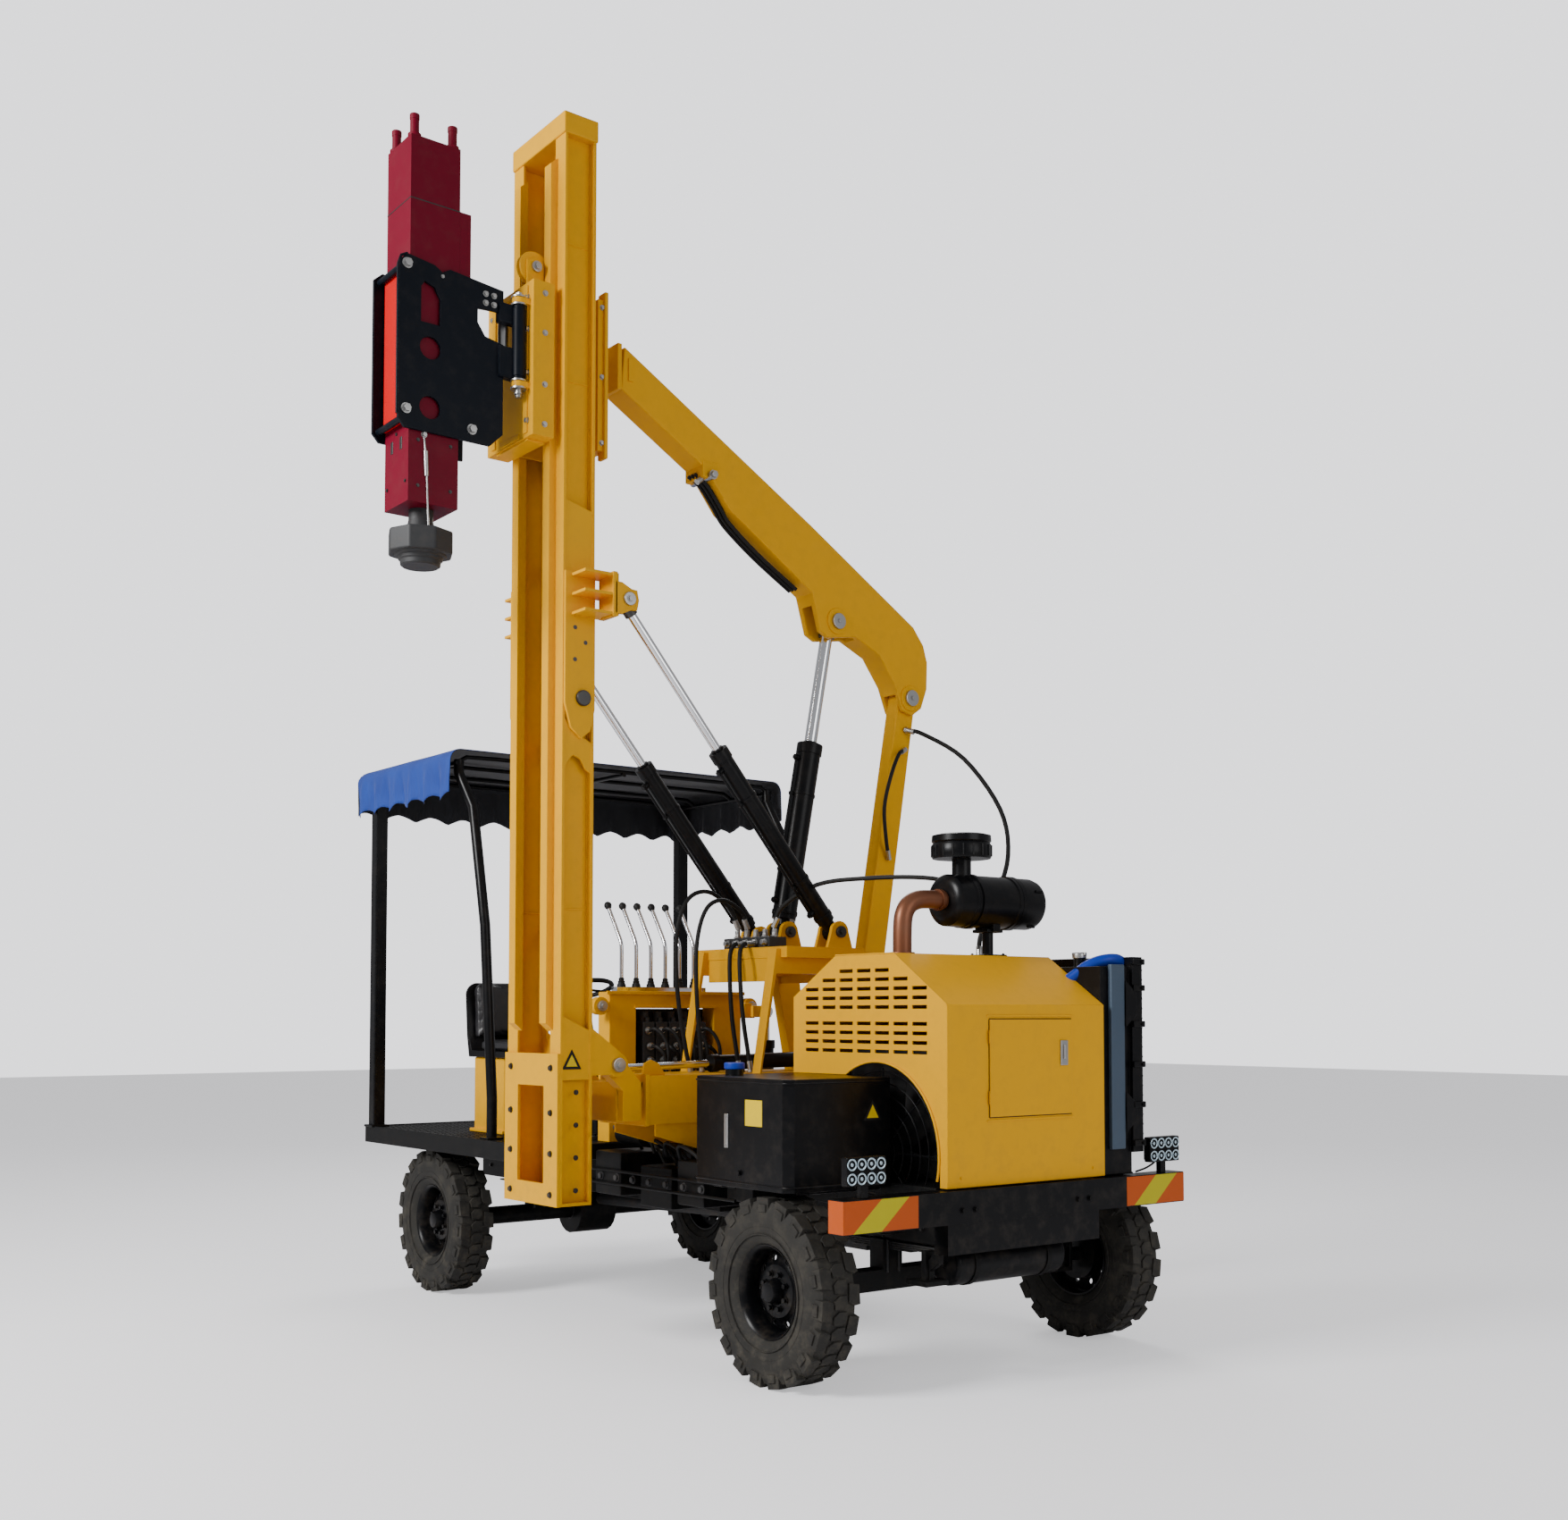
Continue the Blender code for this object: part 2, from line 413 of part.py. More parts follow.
build("sheave", "yellow",
      rod_bm((SHEAVE[0] - 0.0202, *SHEAVE[1:]), (SHEAVE[0] + 0.0202, *SHEAVE[1:]), 0.085, 24))

plate = [(-2.385, 4.50), (-2.35, 4.46), (-1.90, 4.46), (-1.83, 4.53), (-1.83, 4.98), (-1.93, 5.00),
         (-1.97, 5.06), (-1.97, 5.13), (-1.83, 5.14), (-1.83, 5.25), (-2.12, 5.28), (-2.16, 5.255),
         (-2.20, 5.28), (-2.34, 5.30), (-2.385, 5.26)]
far_plate = [(min(y, -1.90), z) for y, z in plate]
far_plate = [p for i, p in enumerate(far_plate) if p != far_plate[i - 1]]
px0, px1 = MX + 0.135, MX + 0.151
port = [(-2.27, 5.16), (-2.27, 4.99), (-2.17, 4.99), (-2.17, 5.12), (-2.20, 5.17), (-2.25, 5.19)]
windows = [prism_bm(port, "x", MX - 0.3, MX + 0.3),
           rod_bm((MX - 0.3, -2.22, 4.87), (MX + 0.3, -2.22, 4.87), 0.055, 16),
           rod_bm((MX - 0.3, -2.22, 4.58), (MX + 0.3, -2.22, 4.58), 0.055, 16)]
ties = [rod_bm((px0 - 0.29, y, z), (px1 - 0.005, y, z), 0.016, 12)
        for y, z in ((-2.352, 5.25), (-2.352, 4.51))]
build("cradle", "navy", prism_bm(plate, "x", px0, px1),
      add=[box_bm(MX - 0.149, MX + 0.149, -1.9995, -1.975, 4.55, 5.22)]
      + ties
      + [prism_bm(far_plate, "x", MX - 0.151, MX - 0.135)]
      + [rod_bm((SWING_X, SWING_Y, HINGES[0] + 0.015), (SWING_X, SWING_Y, HINGES[1] - 0.015), 0.03, 16),
         box_bm(px1 - 0.008, SWING_X - 0.001, -1.86, -1.76, 4.82, 4.97)],
      cut=windows)
build("hammer_body", "crimson", box_bm(MX - 0.13, MX + 0.13, HAM_Y0, HAM_Y1, HAM_Z0, HAM_Z1),
      add=[box_bm(MX - 0.1295, MX + 0.1295, -2.30, -2.0 - GAP, 4.62, 5.59)]
      + [rod_bm((MX + a * 0.10, HAM_AXIS_Y + c * 0.10, 5.88), (MX + a * 0.10, HAM_AXIS_Y + c * 0.10, 6.0),
                0.022, 12)
         for a, c in ((-1, -1), (1, -1), (1, 1), (-1, 1))],
      cut=[rod_bm((MX, HAM_AXIS_Y, 4.0), (MX, HAM_AXIS_Y, 4.42), SHANK_R + 0.0005, 20)])
build("anvil", "steel", rod_bm((MX, HAM_AXIS_Y, 3.88), (MX, HAM_AXIS_Y, 4.30), SHANK_R, 20),
      add=[rod_bm((MX, HAM_AXIS_Y, 3.90), (MX, HAM_AXIS_Y, 4.015), 0.160, 8),
           rod_bm((MX, HAM_AXIS_Y, ANVIL_Z), (MX, HAM_AXIS_Y, 3.91), 0.100, 20)])

# ---------------------------------------------------------------- operator station
cx0, cx1 = -2.11, -1.99
build("console", "yellow", box_bm(cx0, cx1, -0.70, 0.22, DECK_Z1 + GAP, 1.81),
      cut=[box_bm(cx0 - 0.1, cx1 + 0.1, -0.52, 0.02, 1.36, 1.72),
           box_bm(cx0 - 0.1, cx1 + 0.1, -0.62, 0.14, 1.00, 1.27)])
build("valve_bank", "black", box_bm(cx0 + 0.01, cx1 - 0.01, -0.48, -0.02, 1.36 + GAP, 1.56))
build("control_levers", "chrome", box_bm(-2.10, -2.04, -0.62, 0.0, 1.81 + GAP, 1.84),
      add=[tube_bm([(-2.07, -0.57 + 0.1 * i, 1.83), (-2.07, -0.57 + 0.1 * i, 2.10),
                    (-2.17, -0.57 + 0.1 * i, 2.30)], 0.012, 8) for i in range(6)])
build("steering_column", "black",
      tube_bm([(-2.24, -0.62, DECK_Z1 + GAP), (-2.24, -0.62, DECK_Z1 + 0.08), (-2.30, -0.62, 1.40),
               (-2.42, -0.62, 1.80)], 0.035, 12))
SW = Vector((-2.42, -0.62, 1.80))
sw_u = Vector((-0.12, 0, 0.40)).normalized()
wheel = lathe_bm([(0.014 * math.cos(t * math.pi / 4 + 0.2), 0.18 + 0.014 * math.sin(t * math.pi / 4 + 0.2))
                  for t in range(8)], (0, 0, 0), 28)
turn = Vector((0, 1, 0)).rotation_difference(sw_u).to_matrix().to_4x4()
move = Matrix.Translation(SW + sw_u * 0.03) @ turn
bmesh.ops.transform(wheel, matrix=move, verts=wheel.verts)
spokes = []
for i in range(3):
    a = math.radians(120 * i + 33)
    bar = rod_bm((0.017 * math.cos(a), 0.001 * i, 0.017 * math.sin(a)),
                 (0.181 * math.cos(a), 0.001 * i, 0.181 * math.sin(a)), 0.008, 7)
    bmesh.ops.transform(bar, matrix=move, verts=bar.verts)
    spokes.append(bar)
build("steering_wheel", "black", wheel,
      add=[rod_bm(SW + sw_u * GAP, SW + sw_u * 0.045, 0.030, 14)] + spokes)
build("seat_base", "yellow", box_bm(-3.30, -2.92, -0.86, -0.46, DECK_Z1 + GAP, 1.42))
build("seat", "seat",
      prism_bm([(-3.36, 1.42 + GAP), (-2.86, 1.42 + GAP), (-2.83, 1.46), (-2.84, 1.52), (-3.24, 1.54),
                (-3.30, 1.90), (-3.34, 1.93), (-3.38, 1.90)], "y", -0.89, -0.43))

# ---------------------------------------------------------------- canopy
post_top = 3.20 - GAP
for side, s in SIDES.items():
    build("canopy_post_rear_" + side, "black",
          box_bm(-4.07, -3.99, s * 1.17 - 0.04, s * 1.17 + 0.04, DECK_Z1 + GAP, post_top))
    build("canopy_post_front_" + side, "black",
          tube_bm([(-2.58, s * 1.12, DECK_Z1 + GAP), (-2.58, s * 1.12, 1.2), (-2.66, s * 1.13, 2.2),
                   (-2.80, s * 1.14, 2.9), (-2.97, s * 1.15, 3.12), (-2.97, s * 1.15, post_top)], 0.03, 12))
build("canopy_roof", "cloth", box_bm(ROOF_X0, ROOF_X1, -ROOF_Y, ROOF_Y, 2.93, ROOF_Z1),
      cut=[box_bm(ROOF_X0 + 0.012, ROOF_X1 + 0.1, -ROOF_Y + 0.012, ROOF_Y - 0.012, 2.80, 3.20)])

# ---------------------------------------------------------------- origins and shared parent
# Each moving piece takes its origin on its joint's axis, and all pieces hang from one empty.
TILT_DIR = Vector((0, EYE_Y - BASE_Y, EYE_Z - BASE_Z))
PIVOTS = {"steering_wheel": (-2.42, -0.62, 1.80), "sheave": SHEAVE, "boom": (MX, BOOM_Y, BOOM_Z),
          "hood_door": (HOOD_X1 + 0.0115, DOOR[0] - 0.002, 1.435),
          "lift_barrel": (MX, LIFT_Y, LIFT_Z), "lift_rod": (MX, LUG_Y, LUG_Z)}
for name in ("mast_beam_far", "mast_beam_near", "mast_front_frame", "mast_cap"):
    PIVOTS[name] = (MX, FOOT_Y, FOOT_Z)
for name in ("cradle", "hammer_body"):
    PIVOTS[name] = (SWING_X, SWING_Y, 5.0)
PIVOTS["carriage"] = (MX, -1.62, CAR_Z0)
PIVOTS["anvil"] = (MX, HAM_AXIS_Y, 3.90)
for side, s in (("right", -1), ("left", 1)):
    PIVOTS["knuckle_" + side] = (0, s * KINGPIN_Y, TYRE_R)
    for end, wheel_x in (("front", 0), ("rear", -WHEELBASE)):
        PIVOTS["tyre_%s_%s" % (end, side)] = (wheel_x, s * HALF_TRACK, TYRE_R)
        PIVOTS["rim_%s_%s" % (end, side)] = (wheel_x, s * HALF_TRACK, TYRE_R)
for side, s in (("far", -1), ("near", 1)):
    PIVOTS["tilt_%s_barrel" % side] = (MX + s * TILT_X, BASE_Y, BASE_Z)
    PIVOTS["tilt_%s_rod" % side] = (MX + s * TILT_X, BASE_Y + TILT_DIR.y, BASE_Z + TILT_DIR.z)
root = bpy.data.objects.new("shift_origin", None)
bpy.context.scene.collection.objects.link(root)
root.location = SHIFT
for ob in list(bpy.data.objects):
    if ob.type == "MESH":
        pivot = Vector(PIVOTS.get(ob.name, (0, 0, 0)))
        ob.data.transform(Matrix.Translation(-pivot))
        ob.data.shade_smooth()
        ob.data.set_sharp_from_angle(angle=math.radians(28))
        ob.location = pivot
        ob.parent = root
bpy.context.view_layer.update()
lo = Vector((9, 9, 9))
hi = -lo
for ob in bpy.data.objects:
    if ob.type == "MESH":
        for v in ob.data.vertices:
            p = ob.matrix_world @ v.co
            lo = Vector(map(min, lo, p))
            hi = Vector(map(max, hi, p))
print("shift", tuple(SHIFT), "box", tuple(lo), tuple(hi))
print("nodes", sum(o.type == "MESH" for o in bpy.data.objects))
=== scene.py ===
# %% [markdown]
# # A pile driver rig, dressed for its portrait
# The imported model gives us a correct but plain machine. In this notebook we keep its sizes and
# its joints, and give each piece the edges, fasteners, hoses and finishes that a real one has.

# %% Load the frame
import bpy
import json
import math
from mathutils import Vector, Matrix


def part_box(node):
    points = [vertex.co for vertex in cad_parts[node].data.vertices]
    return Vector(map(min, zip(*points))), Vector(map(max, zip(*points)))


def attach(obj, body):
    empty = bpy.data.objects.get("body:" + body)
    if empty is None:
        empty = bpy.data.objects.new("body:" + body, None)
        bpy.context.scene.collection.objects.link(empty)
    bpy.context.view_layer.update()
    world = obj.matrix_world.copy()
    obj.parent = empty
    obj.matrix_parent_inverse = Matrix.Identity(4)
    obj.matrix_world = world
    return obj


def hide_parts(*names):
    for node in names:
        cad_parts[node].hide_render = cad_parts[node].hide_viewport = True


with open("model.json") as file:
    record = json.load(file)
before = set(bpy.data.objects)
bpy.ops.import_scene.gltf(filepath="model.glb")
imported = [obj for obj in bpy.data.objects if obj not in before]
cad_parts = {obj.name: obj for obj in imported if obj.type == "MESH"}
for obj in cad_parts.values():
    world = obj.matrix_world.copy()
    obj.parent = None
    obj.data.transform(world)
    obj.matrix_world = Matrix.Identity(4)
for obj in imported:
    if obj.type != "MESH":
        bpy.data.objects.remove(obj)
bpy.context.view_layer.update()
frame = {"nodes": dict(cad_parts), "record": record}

# %% [markdown]
# Every place below is counted from three landmarks: the middle of the front axle, the centreline
# of the machine, and the ground. We read them from the wheels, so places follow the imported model.

# %% Landmarks
wheel_lo, wheel_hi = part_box("tyre_front_right")
left_lo, left_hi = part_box("tyre_front_left")
AXLE_X = (wheel_lo.x + wheel_hi.x) / 2
CENTRE_Y = (wheel_lo.y + left_hi.y) / 2
TYRE_R = (wheel_hi.z - wheel_lo.z) / 2
HALF_TRACK = (left_lo.y + left_hi.y) / 2 - CENTRE_Y
cap_lo, cap_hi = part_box("mast_cap")
MAST_X = (cap_lo.x + cap_hi.x) / 2 - AXLE_X
print("front axle at", round(AXLE_X, 3), "centreline at", round(CENTRE_Y, 3), "mast plane", round(MAST_X, 3))


def at(x, y, z):
    """A point counted from the front axle, the centreline and the ground."""
    return Vector((AXLE_X + x, CENTRE_Y + y, z))


# %% [markdown]
# The camera comes first, because it decides which details matter. It stands at head height off
# the front corner on the mast side, level enough that the mast's edges stay upright, with a small
# vertical shift that frames the whole mast.

# %% Camera
camera_data = bpy.data.cameras.new("camera")
camera_data.sensor_width = 36
camera_data.lens = 38.80
camera_data.shift_y = 0.1129
camera = bpy.data.objects.new("camera", camera_data)
bpy.context.scene.collection.objects.link(camera)
camera.location = at(6.142, -5.752, 1.687)
camera.rotation_euler = (math.radians(90 + 2.592), 0, math.radians(52.253))
bpy.context.scene.camera = camera
print("camera at", tuple(round(c, 3) for c in camera.location))

# %% [markdown]
# ## Helpers
# We model with the same tools that a person clicks. Each helper leaves nothing selected by
# accident: an operator works on all that is selected, so we always choose one object first.


# %% Selecting and finishing
def only(ob):
    """Select one object and make it active."""
    if bpy.context.object and bpy.context.object.mode != "OBJECT":
        bpy.ops.object.mode_set(mode="OBJECT")
    bpy.ops.object.select_all(action="DESELECT")
    ob.select_set(True)
    bpy.context.view_layer.objects.active = ob
    return ob


def settle(ob):
    """Write the object's place into its mesh."""
    only(ob)
    bpy.ops.object.transform_apply(location=True, rotation=True, scale=True)
    return ob


def dress(ob, body, material, name=None):
    """Name a finished piece, give it its finish and the body it moves with."""
    if name:
        ob.name = name
    ob.data.materials.clear()
    ob.data.materials.append(material)
    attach(ob, body)
    return ob


def soften(ob, width, segments=2, angle=35):
    """Round the sharp edges with an applied Bevel, and let the flat faces set the shading."""
    only(ob)
    bevel = ob.modifiers.new("soft edges", "BEVEL")
    bevel.width = width
    bevel.segments = segments
    bevel.limit_method = "ANGLE"
    bevel.angle_limit = math.radians(angle)
    bpy.ops.object.modifier_apply(modifier=bevel.name)
    bpy.ops.object.shade_smooth_by_angle(angle=math.radians(40))
    return even_shading(ob)


def even_shading(ob):
    """Weight the normals by face area, so that a broad face shades flat up to its rounded edge."""
    only(ob)
    weighted = ob.modifiers.new("even shading", "WEIGHTED_NORMAL")
    weighted.keep_sharp = True
    weighted.weight = 100
    bpy.ops.object.modifier_apply(modifier=weighted.name)
    return ob


# %% Basic bodies
def block(lo, hi, edge=0.004, segments=2):
    """A box between two corners with softened edges."""
    lo, hi = Vector(lo), Vector(hi)
    bpy.ops.mesh.primitive_cube_add(size=1, location=(lo + hi) / 2)
    ob = bpy.context.object
    ob.scale = [abs(c) for c in hi - lo]
    settle(ob)
    return soften(ob, edge, segments) if edge else ob


def round_bar(p, q, r, sides=24, edge=0.0, r2=None):
    """A turned bar or cone from p to q."""
    p, q = Vector(p), Vector(q)
    bpy.ops.mesh.primitive_cone_add(vertices=sides, radius1=r, radius2=r if r2 is None else r2,
        depth=(q - p).length, location=(p + q) / 2)
    ob = bpy.context.object
    ob.rotation_mode = "QUATERNION"
    ob.rotation_quaternion = Vector((0, 0, 1)).rotation_difference(q - p)
    settle(ob)
    if edge:
        return soften(ob, edge)
    only(ob)
    bpy.ops.object.shade_smooth_by_angle(angle=math.radians(40))
    return ob


def plate(outline, axis, lo, hi, edge=0.003):
    """A flat plate: an outline filled as one face, pushed out along an axis."""
    bpy.ops.mesh.primitive_circle_add(vertices=len(outline), radius=1, fill_type="NGON")
    ob = bpy.context.object
    for vert, (a, b) in zip(ob.data.vertices, outline):
        vert.co = {"x": (lo, a, b), "y": (a, lo, b), "z": (a, b, lo)}[axis]
    step = {"x": (hi - lo, 0, 0), "y": (0, hi - lo, 0), "z": (0, 0, hi - lo)}[axis]
    only(ob)
    bpy.ops.object.mode_set(mode="EDIT")
    bpy.ops.mesh.select_all(action="SELECT")
    bpy.ops.mesh.extrude_region_move(TRANSFORM_OT_translate={"value": step})
    bpy.ops.mesh.select_all(action="SELECT")
    bpy.ops.mesh.normals_make_consistent(inside=False)
    bpy.ops.object.mode_set(mode="OBJECT")
    settle(ob)
    return soften(ob, edge) if edge else ob


def shifted(outline, axis):
    """Move an outline from the machine's landmarks to the frame."""
    first = {"x": CENTRE_Y, "y": AXLE_X, "z": AXLE_X}[axis]
    second = CENTRE_Y if axis == "z" else 0.0
    return [(a + first, b + second) for a, b in outline]


def turned(profile, centre, axis="Y", sides=48, edge=0.0):
    """A turned piece: an open (along, radius) profile spun a full turn round an axis."""
    bpy.ops.mesh.primitive_circle_add(vertices=len(profile), radius=1, fill_type="NOTHING")
    ob = bpy.context.object
    for vert, (along, r) in zip(ob.data.vertices, profile):
        vert.co = {"X": (along, r, 0), "Y": (r, along, 0), "Z": (r, 0, along)}[axis]
    only(ob)
    bpy.ops.object.mode_set(mode="EDIT")
    bpy.ops.mesh.select_all(action="SELECT")
    bpy.ops.mesh.spin(steps=sides, angle=math.tau, center=(0, 0, 0),
        axis={"X": (1, 0, 0), "Y": (0, 1, 0), "Z": (0, 0, 1)}[axis])
    bpy.ops.mesh.select_all(action="SELECT")
    bpy.ops.mesh.remove_doubles(threshold=0.00005)
    bpy.ops.mesh.normals_make_consistent(inside=False)
    bpy.ops.object.mode_set(mode="OBJECT")
    ob.location = centre
    settle(ob)
    if edge:
        return soften(ob, edge)
    bpy.ops.object.shade_smooth_by_angle(angle=math.radians(35))
    return ob


def together(parts, name=None):
    """Join several finished shapes into one piece."""
    parts = [p for p in parts if p]
    only(parts[0])
    for p in parts:
        p.select_set(True)
    bpy.ops.object.join()
    ob = bpy.context.object
    if name:
        ob.name = name
    return ob


def copy_of(ob, place):
    """A copy with its own mesh, moved by a matrix that goes into the mesh."""
    twin = ob.copy()
    twin.data = ob.data.copy()
    bpy.context.scene.collection.objects.link(twin)
    twin.data.transform(place)
    return twin


def cut_away(ob, cutter):
    """Cut one solid out of another and remove the cutter."""
    only(ob)
    cut = ob.modifiers.new("cut", "BOOLEAN")
    cut.operation = "DIFFERENCE"
    cut.solver = "EXACT"
    cut.object = cutter
    bpy.ops.object.modifier_apply(modifier=cut.name)
    bpy.data.objects.remove(cutter, do_unlink=True)
    return ob


def pipe(points, r, sides=5, smooth=True):
    """A bent pipe or hose as a curve with a round section, turned into a mesh."""
    ob = hose_curve(points, r, sides, smooth)
    only(ob)
    bpy.ops.object.convert(target="MESH")
    ob = bpy.context.object
    bpy.ops.object.mode_set(mode="EDIT")
    bpy.ops.mesh.select_all(action="SELECT")
    bpy.ops.mesh.remove_doubles(threshold=0.00005)
    bpy.ops.mesh.normals_make_consistent(inside=False)
    bpy.ops.object.mode_set(mode="OBJECT")
    bpy.ops.object.shade_smooth_by_angle(angle=math.radians(50))
    return ob


def smooth_route(points, steps=5):
    """A Catmull-Rom curve through given points."""
    pts = [Vector(p) for p in points]
    pts = [pts[0] * 2 - pts[1]] + pts + [pts[-1] * 2 - pts[-2]]
    out = []
    for a, b, c, d in zip(pts, pts[1:], pts[2:], pts[3:]):
        for k in range(steps):
            t = k / steps
            out.append(0.5 * (2 * b + (c - a) * t + (2 * a - 5 * b + 4 * c - d) * t * t
                + (3 * b - a - 3 * c + d) * t ** 3))
    out.append(pts[-2])
    return out


def hose_curve(points, r, sides=4, smooth=True):
    """A hose as one open spline with a round section and filled ends."""
    route = smooth_route(points) if smooth else [Vector(p) for p in points]
    data = bpy.data.curves.new("hose", "CURVE")
    data.dimensions = "3D"
    data.bevel_depth = r
    data.bevel_resolution = sides
    data.use_fill_caps = True
    spline = data.splines.new("POLY")
    spline.points.add(len(route) - 1)
    for point, place in zip(spline.points, route):
        point.co = (*place, 1)
    ob = bpy.data.objects.new("hose", data)
    bpy.context.scene.collection.objects.link(ob)
    return ob


def nut(place, direction, size, height=None):
    """A hexagon head with a washer, standing on a face along a direction."""
    place, direction = Vector(place), Vector(direction).normalized()
    height = height or size * 0.7
    head = round_bar(place + direction * height * 0.2, place + direction * height, size * 0.58, sides=6,
        edge=size * 0.05)
    washer = round_bar(place - direction * 0.0005, place + direction * height * 0.25, size * 0.75, sides=16)
    return together([head, washer])


# %% [markdown]
# ## Finishes
# Most of this machine is sprayed steel. Sprayed paint is never one flat colour: it fades a little,
# gathers dust in patches, more of it low down, and its surface is finely pitted. Those effects are
# shared, so each is one node group with named inputs, used by every paint with its own values.


# %% Node helpers
def add_node(tree, kind, **values):
    """Add a shader node and set its plain properties."""
    node = tree.nodes.new(kind)
    for key, value in values.items():
        setattr(node, key, value)
    return node


def new_group(name, inputs, outputs):
    """An empty node group with typed, named sockets."""
    group = bpy.data.node_groups.new(name, "ShaderNodeTree")
    for label, kind, default in inputs:
        socket = group.interface.new_socket(name=label, in_out="INPUT", socket_type=kind)
        if default is not None:
            socket.default_value = default
    for label, kind in outputs:
        group.interface.new_socket(name=label, in_out="OUTPUT", socket_type=kind)
    return group, group.nodes.new("NodeGroupInput"), group.nodes.new("NodeGroupOutput")


COLOUR, NUMBER = "NodeSocketColor", "NodeSocketFloat"

# %% Weathered paint group
weathered, w_in, w_out = new_group("weathered coat",
    [("Colour", COLOUR, (0.8, 0.5, 0.1, 1)), ("Faded colour", COLOUR, (0.8, 0.6, 0.3, 1)),
    ("Dirt colour", COLOUR, (0.10, 0.08, 0.06, 1)), ("Fade", NUMBER, 0.3), ("Dirt", NUMBER, 0.3),
    ("Dust height", NUMBER, 1.2), ("Roughness", NUMBER, 0.35)],
    [("Colour", COLOUR), ("Roughness", NUMBER), ("Height", NUMBER)])
coords = add_node(weathered, "ShaderNodeTexCoord")
cloudy = add_node(weathered, "ShaderNodeTexNoise")
cloudy.inputs["Scale"].default_value = 2.2
cloudy.inputs["Detail"].default_value = 6
grime = add_node(weathered, "ShaderNodeTexNoise")
grime.inputs["Scale"].default_value = 14
grime.inputs["Detail"].default_value = 8
grime.inputs["Roughness"].default_value = 0.65
peel = add_node(weathered, "ShaderNodeTexNoise")
peel.inputs["Scale"].default_value = 220
peel.inputs["Detail"].default_value = 2
for texture in (cloudy, grime, peel):
    weathered.links.new(coords.outputs["Object"], texture.inputs["Vector"])
split = add_node(weathered, "ShaderNodeSeparateXYZ")
weathered.links.new(coords.outputs["Object"], split.inputs[0])
height_mask = add_node(weathered, "ShaderNodeMapRange")
height_mask.inputs["From Min"].default_value = 0.0
height_mask.inputs["To Min"].default_value = 1.0
height_mask.inputs["To Max"].default_value = 0.0
weathered.links.new(split.outputs["Z"], height_mask.inputs["Value"])
weathered.links.new(w_in.outputs["Dust height"], height_mask.inputs["From Max"])
grime_mask = add_node(weathered, "ShaderNodeMapRange")
grime_mask.inputs["From Min"].default_value = 0.47
grime_mask.inputs["From Max"].default_value = 0.72
weathered.links.new(grime.outputs["Fac"], grime_mask.inputs["Value"])
low_dirt = add_node(weathered, "ShaderNodeMath", operation="MULTIPLY_ADD")
low_dirt.inputs[1].default_value = 0.75
low_dirt.inputs[2].default_value = 0.25
weathered.links.new(height_mask.outputs["Result"], low_dirt.inputs[0])
dirt_where = add_node(weathered, "ShaderNodeMath", operation="MULTIPLY")
weathered.links.new(grime_mask.outputs["Result"], dirt_where.inputs[0])
weathered.links.new(low_dirt.outputs[0], dirt_where.inputs[1])
dirt_amount = add_node(weathered, "ShaderNodeMath", operation="MULTIPLY", use_clamp=True)
weathered.links.new(dirt_where.outputs[0], dirt_amount.inputs[0])
weathered.links.new(w_in.outputs["Dirt"], dirt_amount.inputs[1])
fade_amount = add_node(weathered, "ShaderNodeMath", operation="MULTIPLY", use_clamp=True)
weathered.links.new(cloudy.outputs["Fac"], fade_amount.inputs[0])
weathered.links.new(w_in.outputs["Fade"], fade_amount.inputs[1])
faded = add_node(weathered, "ShaderNodeMix", data_type="RGBA")
weathered.links.new(fade_amount.outputs[0], faded.inputs["Factor"])
weathered.links.new(w_in.outputs["Colour"], faded.inputs["A"])
weathered.links.new(w_in.outputs["Faded colour"], faded.inputs["B"])
soiled = add_node(weathered, "ShaderNodeMix", data_type="RGBA")
weathered.links.new(dirt_amount.outputs[0], soiled.inputs["Factor"])
weathered.links.new(faded.outputs["Result"], soiled.inputs["A"])
weathered.links.new(w_in.outputs["Dirt colour"], soiled.inputs["B"])
rough_add = add_node(weathered, "ShaderNodeMath", operation="MULTIPLY_ADD")
rough_add.inputs[1].default_value = 0.4
weathered.links.new(dirt_amount.outputs[0], rough_add.inputs[0])
weathered.links.new(w_in.outputs["Roughness"], rough_add.inputs[2])
rough_vary = add_node(weathered, "ShaderNodeMath", operation="MULTIPLY_ADD", use_clamp=True)
rough_vary.inputs[1].default_value = 0.12
weathered.links.new(cloudy.outputs["Fac"], rough_vary.inputs[0])
weathered.links.new(rough_add.outputs[0], rough_vary.inputs[2])
weathered.links.new(soiled.outputs["Result"], w_out.inputs["Colour"])
weathered.links.new(rough_vary.outputs[0], w_out.inputs["Roughness"])
weathered.links.new(peel.outputs["Fac"], w_out.inputs["Height"])
print("node group", weathered.name, len(weathered.nodes), "nodes")

# %% [markdown]
# A material puts the group's outputs into a Principled BSDF. What is the same all over, such as
# the metal value or a clear coat, is set on the shader itself.


